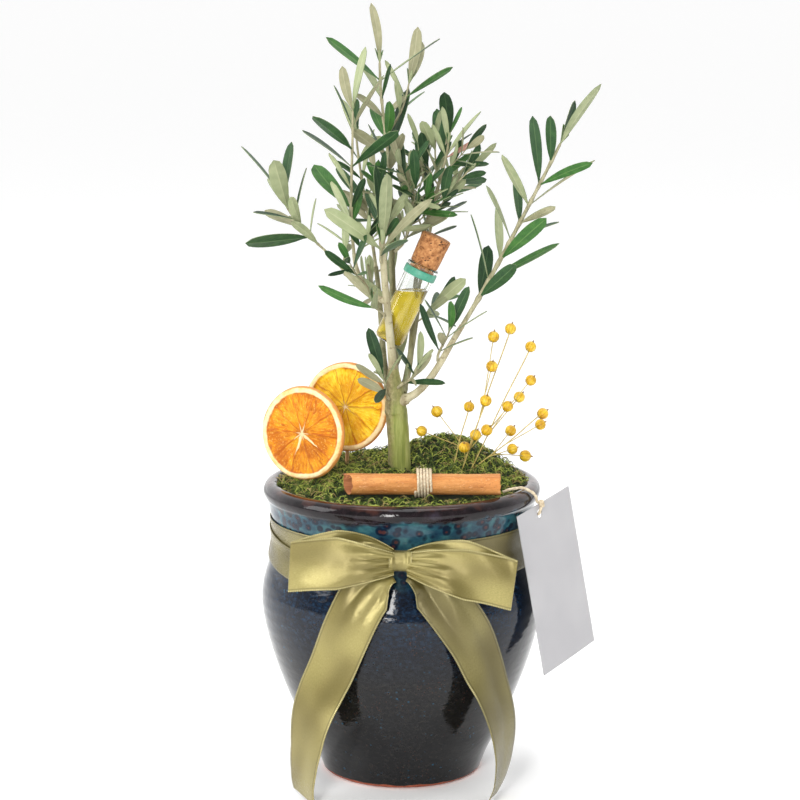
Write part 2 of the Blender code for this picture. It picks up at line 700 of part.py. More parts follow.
def make_moss():
    chance = random.Random(MOSS_SEED)
    hole = TRUNK[0][1] + GAP
    work = bmesh.new()
    top = []
    for ring in range(MOSS_RINGS):
        reach = hole + (MOSS_RADIUS - hole) * ring / (MOSS_RINGS - 1)
        loop = []
        for step in range(MOSS_STEPS):
            angle = 2.0 * math.pi * step / MOSS_STEPS
            x = TRUNK[0][0].x * (1.0 - ring / (MOSS_RINGS - 1)) + reach * math.cos(angle)
            y = reach * math.sin(angle)
            rough = chance.uniform(-MOSS_NOISE, 0.0)
            loop.append(work.verts.new((x, y, moss_height(x, y) + rough)))
        top.append(loop)
    low_outer = [work.verts.new((v.co.x, v.co.y, SOIL_TOP + GAP)) for v in top[-1]]
    low_inner = [work.verts.new((v.co.x, v.co.y, SOIL_TOP + GAP)) for v in top[0]]
    loops = [low_inner] + top + [low_outer]
    for low, high in zip(loops, loops[1:] + loops[:1]):
        for step in range(MOSS_STEPS):
            after = (step + 1) % MOSS_STEPS
            work.faces.new((low[step], low[after], high[after], high[step]))
    bmesh.ops.triangulate(work, faces=[face for face in work.faces if len(face.verts) > 3])
    part = add_part("moss_bed", mesh_from(work, "moss_bed"), "moss")
    lines = []
    for offset, pods in FLAX_SPRIGS:
        foot = flax_foot(offset)
        direction = flax_direction(*pods[0][1:])
        lines.append((foot - direction * (FLAX_DEPTH + GAP), foot + direction * 0.010,
                      FLAX_STEM + 2.0 * GAP))
    for slice_name in SLICES:
        low, high = pick_line(slice_name)
        along = (high - low).normalized()
        lines.append((low - along * GAP, low + along * 0.024, PICK_RADIUS + 2.0 * GAP))
    drill(part, lines)
    fix(part)


def make_trunk():
    centres = [centre for centre, _ in TRUNK]
    radii = [radius for _, radius in TRUNK]
    limb = Limb(centres, radii)
    add_part("trunk", limb_mesh(limb, 12, 0.0, "trunk"), "trunk")
    return limb


def seated_limb(limbs, row, rings, tip_share):
    parent, share, outward, leaving, end, arriving, radius = row
    if share is not None:
        outward = Vector(outward)
        leaving = Vector(leaving)
    start, leaving = limbs[parent].seat(share, outward, leaving, radius)
    radii = (radius, radius * tip_share)
    return curved_limb(start, leaving, Vector(end), Vector(arriving), radii, rings)


def make_boughs(limbs):
    for name, row in BOUGHS.items():
        limb = seated_limb(limbs, row[:7], BOUGH_RINGS, row[7] / row[6])
        limbs[name] = limb
        add_part(name, limb_mesh(limb, 6, 0.0, name), "bough")


def make_masses(limbs, obstacles):
    """Grow each mass, leaving out a twig or a leaf that touches something or leaves the crown."""
    for name, row in MASSES.items():
        pairs, leaf_length, turn, twigs, seed = row[7:]
        stem = seated_limb(limbs, row[:7], STEM_RINGS, 0.6)
        pieces = []
        for branch, leaves in grow(stem, pairs, leaf_length, turn, twigs, seed):
            if branch is not stem:
                if touches(limb_mesh(branch, 4, 2.0 * GAP, "trial"), obstacles):
                    continue
                pieces.append(limb_mesh(branch, 4, 0.0, name))
            for leaf in leaves:
                tip = leaf["base"] + leaf["along"] * leaf["length"]
                in_height = CROWN_LOW < tip.z < CROWN_TOP
                in_width = CROWN_LEFT < tip.x < CROWN_RIGHT
                if not (in_height and in_width):
                    continue
                if touches(leaf_mesh(leaf, 2.0 * GAP, "trial"), obstacles):
                    continue
                pieces.append(leaf_mesh(leaf, 0.0, name))
        part = add_part(name, limb_mesh(stem, 5, 0.0, name), "leaves")
        part = fuse(part, pieces)
        obstacles.append(placed_tree(part))


def bottle_matrix():
    return Matrix.Translation(BOTTLE_FOOT) @ Matrix.Rotation(BOTTLE_LEAN, 4, "Y")


def make_bottle():
    inner = BOTTLE_RADIUS - BOTTLE_WALL
    lip = BOTTLE_RADIUS + 0.0006
    glass = turned("bottle_glass", (
        (0.0, 0.0012), (inner - 0.0020, 0.0014), (inner, 0.0034), (inner, BOTTLE_HEIGHT),
        (lip - 0.0004, BOTTLE_HEIGHT), (lip, BOTTLE_HEIGHT - 0.0004),
        (lip, BOTTLE_HEIGHT - 0.0016), (BOTTLE_RADIUS, BOTTLE_HEIGHT - 0.0020),
        (BOTTLE_RADIUS, 0.0026), (BOTTLE_RADIUS - 0.0008, 0.0007), (BOTTLE_RADIUS - 0.0026, 0.0),
        (0.0, 0.0)), BOTTLE_STEPS, "glass")
    glass.matrix_world = bottle_matrix()

    fill = inner - GAP
    oil = turned("bottle_oil", (
        (0.0, 0.0340), (fill, 0.0340), (fill, 0.0036), (inner - 0.0022, 0.0012 + 2.0 * GAP),
        (0.0, 0.0012 + GAP)), BOTTLE_STEPS, "oil")
    oil = fix(oil)
    oil.matrix_world = bottle_matrix()
    level = oil.matrix_world.inverted() @ Vector((BOTTLE_FOOT.x, BOTTLE_FOOT.y, OIL_LEVEL))
    upward = oil.matrix_world.inverted().to_3x3() @ Vector((0.0, 0.0, 1.0))
    work = bmesh.new()
    work.from_mesh(oil.data)
    bmesh.ops.bisect_plane(work, geom=work.verts[:] + work.edges[:] + work.faces[:],
                           plane_co=level, plane_no=upward, clear_outer=True)
    rim = [edge for edge in work.edges if edge.is_boundary]
    bmesh.ops.edgeloop_fill(work, edges=rim)
    bmesh.ops.recalc_face_normals(work, faces=work.faces)
    work.to_mesh(oil.data)
    work.free()

    plug = inner - GAP
    cork = turned("bottle_cork", (
        (0.0, BOTTLE_HEIGHT + CORK_HEIGHT), (0.0068, BOTTLE_HEIGHT + CORK_HEIGHT),
        (0.0078, BOTTLE_HEIGHT + CORK_HEIGHT - 0.0008), (0.0073, BOTTLE_HEIGHT + GAP),
        (plug, BOTTLE_HEIGHT + GAP), (plug - 0.0003, BOTTLE_HEIGHT - CORK_DEPTH),
        (0.0, BOTTLE_HEIGHT - CORK_DEPTH)), BOTTLE_STEPS, "cork")
    cork.matrix_world = bottle_matrix()

    low = BOTTLE_HEIGHT - 0.0064
    high = BOTTLE_HEIGHT - 0.0024
    hug = BOTTLE_RADIUS + GAP
    band = turned("bottle_band", ((hug, high), (hug + 0.0006, high), (hug + 0.0006, low),
                                  (hug, low)), BOTTLE_STEPS, "mint", closed=True)
    band.matrix_world = bottle_matrix()


def make_slices():
    half = SLICE_THICKNESS / 2.0
    for slice_name, (_, radius, _, _) in SLICES.items():
        outline = ((0.0, half * 0.6), (radius * 0.84, half * 0.6), (radius * 0.90, half),
                   (radius * 0.98, half * 0.8), (radius, 0.0))
        mirrored = [(reach, -height) for reach, height in reversed(outline[:-1])]
        part = turned("orange_slice_" + slice_name, list(outline) + mirrored, 26, "orange")
        part.matrix_world = slice_matrix(slice_name)
        low, high = pick_line(slice_name)
        tube("orange_pick_" + slice_name, [low, high], [PICK_RADIUS] * 2, 2, "wood")


def make_cinnamon():
    """A quill of bark rolled in from both edges, and the twine tied round its middle."""
    outline = []
    count = 30
    for index in range(count + 1):
        share = index / count
        angle = math.radians(-205.0 + 410.0 * share)
        inward = abs(share - 0.5) * 2.0
        curl = max(0.0, inward - 0.62) / 0.38
        reach = STICK_RADIUS - STICK_WALL / 2.0 - 0.0029 * curl ** 0.8
        outline.append(Vector((0.0, reach * math.sin(angle), -reach * math.cos(angle))))
    quill = open_quill(outline)
    quill.matrix_world = (Matrix.Translation(STICK_CENTRE)
                         @ Matrix.Rotation(STICK_TURN, 4, "Z"))
    inner = STICK_RADIUS + GAP
    bumps = []
    for turn in range(WRAP_TURNS):
        for step, swell in ((0.0, 0.3), (0.5, 1.0), (1.5, 1.0)):
            place = WRAP_PITCH * (turn + step / 2.0 - WRAP_TURNS / 2.0)
            bumps.append((inner + WRAP_DEPTH * swell, place))
    bumps.append((inner + WRAP_DEPTH * 0.3, WRAP_PITCH * WRAP_TURNS / 2.0))
    ring = [(inner, bumps[0][1]), (inner, bumps[-1][1])]
    twine = turned("cinnamon_twine", list(reversed(bumps)) + ring, 16, "twine", closed=True)
    twine.matrix_world = (Matrix.Translation(STICK_CENTRE + Vector((0.0010, 0.0, 0.0)))
                          @ Matrix.Rotation(STICK_TURN, 4, "Z")
                          @ Matrix.Rotation(math.pi / 2.0, 4, "Y"))


def open_quill(outline):
    work = bmesh.new()
    rows = []
    stations = 3
    for station in range(stations):
        x = STICK_LENGTH * (station / (stations - 1) - 0.5)
        rows.append([work.verts.new((x, point.y, point.z)) for point in outline])
    for low, high in zip(rows, rows[1:]):
        for index in range(len(outline) - 1):
            work.faces.new((low[index], low[index + 1], high[index + 1], high[index]))
    part = add_part("cinnamon_stick", mesh_from(work, "cinnamon_stick"), "cinnamon")
    solidify = part.modifiers.new("Thickness", "SOLIDIFY")
    solidify.thickness = STICK_WALL
    solidify.offset = 0.0
    return part


def make_flax():
    for number, (offset, pods) in enumerate(FLAX_SPRIGS, 1):
        name = f"flax_sprig_{number}"
        foot = flax_foot(offset)
        main = flax_direction(*pods[0][1:])
        low = foot - main * FLAX_DEPTH
        top = foot + main * pods[0][0]
        stem = Limb([low.lerp(top, share) for share in (0.0, 0.35, 0.7, 1.0)],
                    [FLAX_STEM, FLAX_STEM, FLAX_STEM * 0.9, FLAX_STEM * 0.8])
        pieces = [pod_mesh(top, main, name)]
        for length, lean, back in pods[1:]:
            direction = flax_direction(lean, back)
            end = foot + direction * length
            start = foot + main * min(length * 0.45, pods[0][0] * 0.7)
            branch = Limb([start, start.lerp(end, 0.5), end], [FLAX_STEM * 0.85] * 3)
            pieces.append(limb_mesh(branch, 4, 0.0, name))
            pieces.append(pod_mesh(end, (end - start).normalized(), name))
        part = add_part(name, limb_mesh(stem, 5, 0.0, name), "flax")
        fuse(part, pieces)


def pod_mesh(centre, direction, name):
    work = bmesh.new()
    bmesh.ops.create_uvsphere(work, u_segments=6, v_segments=3, radius=FLAX_POD)
    for vertex in work.verts:
        if vertex.co.z > FLAX_POD * 0.9:
            vertex.co.z += FLAX_POD * 0.35
    turn = direction.to_track_quat("Z", "Y").to_matrix().to_4x4()
    turn.translation = centre
    work.transform(turn)
    return mesh_from(work, name)


def make_band():
    heights = (BAND_TOP, BAND_WAIST, BAND_BOTTOM)
    hug = [(outline_radius(height) + GAP, height) for height in heights]
    outer = [(radius + RIBBON_THICKNESS, height) for radius, height in hug]
    turned("ribbon_band", outer + list(reversed(hug)), POT_STEPS, "satin", closed=True)


def make_knot():
    work = bmesh.new()
    bmesh.ops.create_cube(work, size=1.0)
    work.transform(Matrix.Translation(KNOT_CENTRE) @ Matrix.Diagonal((*KNOT_SIZE, 1.0)))
    part = add_part("bow_knot", mesh_from(work, "bow_knot"), "satin")
    bevel = part.modifiers.new("Soft edges", "BEVEL")
    bevel.width = 0.0026
    bevel.segments = 2


def make_loop(name, side, reach, drop, rise):
    """One loop of the bow: out from the knot behind, round the far end, and back in front."""
    half = 7
    centres, widths, directions = [], [], []
    inner = abs(KNOT_SIZE.x) / 2.0 + GAP
    for index in range(2 * half + 1):
        share = abs(index - half) / half
        front = index > half
        x = KNOT_CENTRE.x + side * (inner + (reach - inner) * math.cos(share * math.pi / 2.0) ** 0.8)
        out = (x - KNOT_CENTRE.x) * side / reach
        depth = math.sin(math.pi * min(share, 1.0) / 2.0)
        bulge = LOOP_BULGE * math.sin(math.pi * out ** 0.8)
        middle = KNOT_CENTRE.y - 0.0004 - LOOP_FORWARD * out
        y = middle + (-1.0 if front else 1.0) * (LOOP_FOOT * depth + bulge * depth)
        z = KNOT_CENTRE.z - 0.0008 + drop * out ** 1.3 + rise * math.sin(math.pi * out)
        centres.append(Vector((x, y, z)))
        widths.append(0.0080 + (RIBBON_WIDTH - 0.0080) * min(1.0, out * 1.75) ** 0.75)
        directions.append(Vector((-0.10 * side * out * (1.0 if side < 0 else 2.2), 0.0, 1.0)))
    strip(name, centres, widths, directions, RIBBON_THICKNESS, "satin")


def make_tail(name, stations):
    centres = [centre for centre, _ in stations]
    widths, directions = [], []
    for index, (centre, turn) in enumerate(stations):
        before = centres[max(index - 1, 0)]
        after = centres[min(index + 1, len(centres) - 1)]
        run = (after - before).normalized()
        turn = math.radians(turn)
        across = Vector((math.cos(turn), -math.sin(turn), 0.0))
        directions.append((across - run * across.dot(run)).normalized())
        widths.append(min(RIBBON_WIDTH, 0.010 + 0.9 * (centre - centres[0]).length))
    strip(name, centres, widths, directions, RIBBON_THICKNESS, "satin")


def tag_matrix():
    return (Matrix.Translation(TAG_CENTRE) @ Matrix.Rotation(TAG_TURN, 4, "Z")
            @ Matrix.Rotation(-TAG_LEAN, 4, "X") @ Matrix.Rotation(-TAG_ROLL, 4, "Y"))


def make_tag():
    curve = bpy.data.curves.new("tag", "CURVE")
    curve.dimensions = "2D"
    curve.fill_mode = "BOTH"
    curve.extrude = TAG_SIZE.y / 2.0
    half_width, half_height = TAG_SIZE.x / 2.0, TAG_SIZE.z / 2.0
    corners = ((-half_width, -half_height), (half_width, -half_height),
               (half_width, half_height), (-half_width, half_height))
    card = curve.splines.new("POLY")
    card.points.add(3)
    for knot, corner in zip(card.points, corners):
        knot.co = (*corner, 0.0, 1.0)
    card.use_cyclic_u = True
    count = 10
    hole = curve.splines.new("POLY")
    hole.points.add(count - 1)
    for index, knot in enumerate(hole.points):
        angle = 2.0 * math.pi * index / count
        knot.co = (TAG_HOLE.x + TAG_HOLE_RADIUS * math.cos(angle),
                   TAG_HOLE.y + TAG_HOLE_RADIUS * math.sin(angle), 0.0, 1.0)
    hole.use_cyclic_u = True
    card_part = fix(add_part("tag", curve, "paper"))
    card_part.matrix_world = tag_matrix() @ Matrix.Rotation(math.pi / 2.0, 4, "X")


def make_twine():
    """Twine from the moss over the lip, down the face of the tag and in through its hole."""
    face = TAG_SIZE.y / 2.0
    edge = TAG_SIZE.z / 2.0
    clear = TWINE_RADIUS + 2.0 * GAP
    knot_radius = TWINE_RADIUS * 2.0

    def on_tag(forward, up):
        return tag_matrix() @ Vector((TAG_HOLE.x, -forward, up))

    route = []
    for share, reach, height in TWINE_OVER_LIP:
        way = TWINE_WAYS[0].lerp(TWINE_WAYS[1], share).normalized()
        route.append(way * reach + Vector((0.0, 0.0, height)))
    route += [
        on_tag(0.0, edge + clear + 0.0003),
        on_tag(face + clear, edge + clear * 0.5),
        on_tag(face + clear, TAG_HOLE.y + 0.0030),
        on_tag(0.0, TAG_HOLE.y),
        on_tag(-0.0016, TAG_HOLE.y - 0.0006),
    ]
    part = tube("tag_twine", route, [TWINE_RADIUS] * len(route), 1, "twine")
    knot = bmesh.new()
    bmesh.ops.create_uvsphere(knot, u_segments=8, v_segments=6, radius=knot_radius)
    knot.transform(Matrix.Translation(on_tag(face + knot_radius + 2.0 * GAP, edge + 0.0006)))
    fuse(part, [mesh_from(knot, "knot")])


clear_scene()
PARTS = make_collection(NAME)
CUTTERS = make_collection("cutters")

make_pot()
make_soil()
make_moss()
make_bottle()
make_slices()
make_cinnamon()
make_flax()
make_band()
make_knot()
for loop_name, loop_row in LOOPS.items():
    make_loop("bow_loop_" + loop_name, *loop_row)
for tail_name, tail_row in TAILS.items():
    make_tail("bow_tail_" + tail_name, tail_row)
make_tag()
make_twine()

LIMBS = {"trunk": make_trunk()}
make_boughs(LIMBS)
bpy.context.view_layer.update()
make_masses(LIMBS, [placed_tree(item) for item in PARTS.objects])
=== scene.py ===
"""The looks of a small potted olive tree, dressed as a gift.

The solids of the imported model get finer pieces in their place: barked limbs, twigs and leaves
grown by the same rule as the solids, a glazed pot, satin ribbon, a paper tag, dried orange,
cinnamon, flax and a corked bottle of oil. The moss bed and the soil keep their solids, and
strands cover the bed.

Lengths are in metres and +Z is up. The front of the pot faces -Y.
"""

import math
import random

import bpy
import numpy as np
from mathutils import Matrix, Vector, noise
from mathutils.bvhtree import BVHTree


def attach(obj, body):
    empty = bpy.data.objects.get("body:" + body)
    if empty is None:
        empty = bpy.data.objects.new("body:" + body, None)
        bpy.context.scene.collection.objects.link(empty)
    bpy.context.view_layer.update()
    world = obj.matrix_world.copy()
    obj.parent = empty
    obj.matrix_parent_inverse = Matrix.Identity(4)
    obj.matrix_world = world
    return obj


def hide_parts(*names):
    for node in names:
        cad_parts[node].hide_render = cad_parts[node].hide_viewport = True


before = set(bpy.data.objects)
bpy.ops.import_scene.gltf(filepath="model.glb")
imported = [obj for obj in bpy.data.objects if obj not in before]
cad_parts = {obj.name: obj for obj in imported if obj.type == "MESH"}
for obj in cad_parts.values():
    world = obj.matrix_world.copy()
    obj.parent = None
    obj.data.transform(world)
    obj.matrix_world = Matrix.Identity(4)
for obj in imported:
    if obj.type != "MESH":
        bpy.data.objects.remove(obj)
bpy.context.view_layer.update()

GAP = 0.0003
FRONT = Vector((0.0, -1.0, 0.0))
UP = Vector((0.0, 0.0, 1.0))
EVEN = (1.0, 1.0, 1.0)

# The camera of the photograph
CAMERA_PLACE = Vector((-0.001, -1.250, 0.414))
CAMERA_DOWN = math.radians(10.06)
CAMERA_LENS = 112.5
CAMERA_SENSOR = 36.0

# Pot: its outline as (radius, height), outside from the crown of the lip down to the underside,
# and inside from below the moss up to the crown
POT_OUTLINE = (
    (0.0662, 0.1513), (0.0690, 0.1502), (0.0704, 0.1478), (0.0705, 0.1460), (0.0698, 0.1440),
    (0.0686, 0.1422), (0.0676, 0.1380), (0.0662, 0.1300), (0.0655, 0.1220), (0.0661, 0.1160),
    (0.0684, 0.1090), (0.0710, 0.1000), (0.0720, 0.0925), (0.0716, 0.0850), (0.0700, 0.0760),
    (0.0674, 0.0660), (0.0641, 0.0556), (0.0602, 0.0450), (0.0552, 0.0330), (0.0498, 0.0215),
    (0.0446, 0.0110), (0.0418, 0.0040), (0.0407, 0.0012), (0.0388, 0.0),
)
POT_INSIDE = ((0.0588, 0.1380), (0.0612, 0.1430), (0.0618, 0.1480), (0.0634, 0.1506))
POT_AROUND = 160

# Moss
MOSS_RADIUS = 0.0612
MOSS_EDGE = 0.1490
MOSS_DOME = 0.0075
MOSS_BACK_RISE = 0.0035
MOSS_HUMP = 0.0110
MOSS_HUMP_PLACE = Vector((0.026, 0.034))
MOSS_HUMP_WIDTH = 0.017
MOSS_STRANDS = 5200
MOSS_SEED = 8
MOSS_SPREAD = 0.0624
MOSS_LIMIT = 0.0660
# The trunk in the moss: x of its middle, radius, and height above which strands keep off it
MOSS_AT_TRUNK = (-0.0007, 0.0062, 0.150)
# Near the lip: a distance from the pot's axis, and the height that strands beyond it stay above
MOSS_OVER_LIP = ((0.0606, 0.1500), (0.0626, 0.1512))
# Tints of the strands: dark colour, light colour and roughness
MOSS_TINTS = {
    "moss_deep": ((26, 38, 12), (54, 70, 24), 0.8),
    "moss_mid": ((66, 88, 30), (100, 120, 48), 0.8),
    "moss_bright": ((138, 156, 56), (190, 200, 96), 0.8),
    "moss_dry": ((136, 120, 66), (184, 168, 108), 0.85),
}

# Trunk: x, y, z and radius from the flat cut on the soil up to the fork
TRUNK = (
    (-0.0004, 0.0, 0.1383, 0.0069),
    (-0.0006, 0.0, 0.1430, 0.0062),
    (-0.0010, 0.0, 0.1520, 0.0058),
    (-0.0017, 0.0, 0.1700, 0.0056),
    (-0.0027, -0.0002, 0.1840, 0.0055),
    (-0.0030, -0.0004, 0.1870, 0.0058),
    (-0.0032, -0.0006, 0.1900, 0.0053),
    (-0.0036, -0.0011, 0.1970, 0.0045),
    (-0.0041, -0.0020, 0.2040, 0.0033),
    (-0.0045, -0.0028, 0.2090, 0.0025),
)
TRUNK_CUT = 0.1382
BOUGH_RINGS = 8
STEM_RINGS = 7
TWIG_RINGS = 4
BARK_SIDES = 28
PALE_BOUGHS = ("bough_front", "bough_right", "bough_left", "bough_far_left")

# Leaves: width as a share of the length, from slimmest to widest, and how many are narrow
LEAF_SLIM = (0.23, 0.34)
LEAF_NARROW_CHANCE = 0.25
LEAF_CURL = 0.10
LEAF_STATIONS = 13
LEAF_ACROSS = (-1.0, -0.62, -0.2, 0.0, 0.2, 0.62, 1.0)
LEAF_DEPTH = 0.00028
# A leaf or a twig of the rule is made where the solids have one within this distance
FOUND_WITHIN = 0.0009
# Sides of a leaf: dark colour, light colour, colour of the veins, roughness and shine
LEAF_SIDES = {
    "leaf_upper_deep": ((28, 54, 31), (42, 72, 40), (66, 92, 58), 0.46, 0.30),
    "leaf_upper": ((36, 68, 37), (52, 88, 47), (80, 108, 66), 0.48, 0.30),
    "leaf_upper_fresh": ((46, 92, 38), (66, 114, 48), (96, 132, 70), 0.50, 0.30),
    "leaf_under_pale": ((154, 165, 122), (172, 180, 138), (184, 188, 150), 0.66, 0.50),
    "leaf_under": ((138, 148, 110), (158, 165, 126), (174, 178, 140), 0.68, 0.50),
    "leaf_under_warm": ((146, 145, 112), (164, 161, 128), (176, 172, 142), 0.70, 0.50),
    "leaf_dry": ((176, 128, 112), (206, 160, 142), (216, 180, 160), 0.80, 0.50),
}
# The same sides as material numbers, and the margin of all leaves
(UPPER_DEEP, UPPER, UPPER_FRESH, UNDER_PALE, UNDER, UNDER_WARM, DRY, MARGIN) = range(8)
# Highest share of a stem that carries leaves, and the slimmest leaves against LEAF_SLIM
LAST_LEAF = 0.985
LEAF_SLIMMEST = 0.75
# The one withered leaf: its stem, share of it and length
WITHERED = ("leaves_upper_right", 0.82, 0.021)

# Boughs: parent limb, share of its length (None for its tip), outward direction there, starting
# direction, far end, direction at the far end, radius at the foot and at the far end
BOUGHS = {
    "bough_front": ("trunk", None, None, None, (-0.0104, -0.0120, 0.2920), (0.0, 0.0, 1.0),
                    0.0021, 0.0015),
    "bough_leader": ("trunk", 0.85, (0.1, 1.0, 0.0), (0.0, 0.85, 0.55), (-0.0055, 0.0140, 0.2930),
                     (0.0, -0.05, 1.0), 0.0019, 0.0013),
    "bough_upper_right": ("trunk", 0.78, (0.75, 0.66, 0.0), (0.28, 0.78, 0.56),
                          (0.0120, 0.0175, 0.2790), (0.3, -0.05, 1.0), 0.0017, 0.0012),
    "bough_right": ("trunk", 0.72, (0.9, -0.43, 0.0), (0.85, -0.35, 0.40),
                    (0.0300, -0.0150, 0.2325), (0.55, -0.05, 0.85), 0.0020, 0.0014),
    "bough_left": ("bough_front", 0.45, (-1.0, 0.1, 0.0), (-1.0, 0.1, 0.35),
                   (-0.0240, -0.0080, 0.2680), (-0.05, 0.05, 1.0), 0.0012, 0.0010),
    "bough_far_left": ("bough_left", 0.50, (-1.0, 0.1, 0.0), (-1.0, 0.1, 0.45),
                       (-0.0360, -0.0080, 0.2672), (-0.75, 0.0, 0.65), 0.0009, 0.0008),
    "bough_back_left": ("trunk", 0.78, (-0.55, 0.83, 0.0), (-0.18, 0.84, 0.50),
                        (-0.0135, 0.0360, 0.2560), (-0.15, 0.1, 1.0), 0.0018, 0.0012),
    "bough_back_right": ("trunk", 0.64, (0.35, 0.93, 0.0), (0.18, 0.90, 0.40),
                         (0.0115, 0.0400, 0.2560), (0.15, 0.1, 1.0), 0.0018, 0.0012),
}

# Share of a mass's leaves that is left out, so that the sky shows through it
THINNED = {"leaves_upper_right": 0.34, "leaves_back_right": 0.34, "leaves_back": 0.25}

# Foliage masses: parent limb, share of its length (None for its tip), outward direction, starting
# direction, far end of the stem, direction there, stem radius, leaf pairs, leaf length, turn of
# the first pair in degrees, side twigs and seed
MASSES = {
    "leaves_top": ("bough_leader", None, None, None, (-0.0112, 0.0110, 0.3625), (0.0, -0.03, 1.0),
                   0.0011, 7, 0.0327, 25, 1, 852),
    "leaves_left": ("bough_left", None, None, None, (-0.0243, -0.0080, 0.3396), (0.0, 0.0, 1.0),
                    0.0009, 7, 0.0315, 135, 0, 2),
    "leaves_far_left": ("bough_far_left", None, None, None, (-0.0590, -0.0080, 0.2960),
                        (-0.25, 0.0, 1.0), 0.0007, 6, 0.0339, 15, 0, 1471),
    "leaves_upper_right": ("bough_upper_right", None, None, None, (0.0234, 0.0140, 0.3218),
                           (0.1, 0.0, 1.0), 0.0010, 6, 0.0266, 140, 3, 614),
    "leaves_centre": ("bough_leader", 0.74, (1.0, -0.5, 0.0), (0.8, -0.3, 0.6),
                      (0.0060, 0.0060, 0.2990), (0.1, 0.0, 1.0), 0.0009, 5, 0.0275, 75, 1, 2992),
    "leaves_right": ("bough_right", None, None, None, (0.0785, -0.0140, 0.3239), (0.45, 0.0, 0.9),
                     0.0013, 9, 0.0363, 25, 0, 356),
    "leaves_right_low": ("bough_right", 0.60, (-0.5, -0.6, 0.5), (-0.1, -0.4, 0.9),
                         (0.0235, -0.0210, 0.2310), (0.2, -0.2, 1.0), 0.0008, 4, 0.0242, 60, 0,
                         2626),
    "leaves_low_right": ("trunk", 0.83, (0.45, -0.9, 0.0), (0.4, -0.7, 0.6),
                         (0.0080, -0.0160, 0.2110), (0.2, -0.2, 1.0), 0.0009, 4, 0.0207, 120, 0,
                         434),
    "leaves_low_left": ("trunk", 0.74, (-0.6, -0.8, 0.0), (-0.5, -0.6, 0.6),
                        (-0.0095, -0.0140, 0.2055), (-0.5, -0.3, 1.0), 0.0008, 4, 0.0266, 60, 0,
                        2790),
    "leaves_front_mid": ("bough_front", 0.36, (-0.6, -0.8, 0.0), (-0.5, -0.6, 0.8),
                         (-0.0150, -0.0190, 0.2460), (-0.2, -0.1, 1.0), 0.0008, 2, 0.0297, 40, 0,
                         467),
    "leaves_front_high": ("bough_front", 0.68, (-0.4, -0.9, 0.0), (-0.3, -0.6, 0.8),
                          (-0.0098, -0.0190, 0.2742), (-0.1, -0.1, 1.0), 0.0008, 3, 0.0399, 10, 0,
                          1263),
    "leaves_back_left": ("bough_back_left", None, None, None, (-0.0235, 0.0400, 0.3220),
                         (-0.1, 0.0, 1.0), 0.0010, 6, 0.0270, 50, 1, 27),
    "leaves_back_right": ("bough_back_right", None, None, None, (0.0235, 0.0420, 0.3230),
                          (0.15, 0.0, 1.0), 0.0010, 6, 0.0270, 40, 1, 23),
    "leaves_back": ("trunk", 0.60, (-0.15, 0.98, 0.0), (-0.1, 0.8, 0.5),
                    (-0.0060, 0.0330, 0.2480), (0.0, 0.3, 1.0), 0.0009, 5, 0.0240, 30, 0, 24),
}

# Cinnamon stick and the twine round it
STICK_CENTRE = Vector((0.0096, -0.0395, 0.1576))
STICK_LENGTH = 0.0785
STICK_RADIUS = 0.0060
STICK_WALL = 0.0011
STICK_TURN = math.radians(-1.0)
STICK_SLANT = 0.0050
STICK_BED_GAP = 0.0006
WRAP_TURNS = 5
WRAP_PITCH = 0.0017
WRAP_TWINE = 0.00072
WRAP_PROUD = 0.00066

# Orange slices: centre, radius, turn about the vertical and backward lean
SLICE_THICKNESS = 0.0042
SLICES = {
    "front": (Vector((-0.0496, -0.0110, 0.1773)), 0.0240, math.radians(-28.0), math.radians(4.0)),
    "back": (Vector((-0.0285, 0.0150, 0.1862)), 0.0232, math.radians(-20.0), math.radians(6.0)),
}
PICK_RADIUS = 0.0011
PICK_DEPTH = 0.0068
ORANGE_SEGMENTS = 10
ORANGE_WALL = (0.42, 0.085, 0.006, 1.0)
# Flesh in three tones, from deep to lit, the lit tone being painted light on the juice sacs, and how far
# the star's arms reach
ORANGE_FLESH = {
    "front": ((166, 80, 0), (206, 120, 4), (236, 166, 30), 0.44),
    "back": ((204, 128, 2), (244, 192, 14), (252, 224, 74), 0.10),
}
# The segment beside which the star's two long arms lie
STAR_SIDE = 8.0

# Oil bottle: the middle of its underside, its lean to the right and its sizes
BOTTLE_FOOT = Vector((-0.0071, 0.0046, 0.2217))
BOTTLE_LEAN = math.radians(24.9)
BOTTLE_AXIS = Vector((math.sin(BOTTLE_LEAN), 0.0, math.cos(BOTTLE_LEAN)))
BOTTLE_RADIUS = 0.0076
BOTTLE_WALL = 0.0008
BOTTLE_HEIGHT = 0.0430
OIL_LEVEL = 0.2475
CORK_DEPTH = 0.0050
CORK_HEIGHT = 0.0160
BOTTLE_AROUND = 72
# Length of the bottle's axis, from below its foot to above its cork, and the width on either side
# that finer sprigs leave open
BOTTLE_VIEW = (-0.002, 0.060)
BOTTLE_VIEW_ASIDE = 0.0115

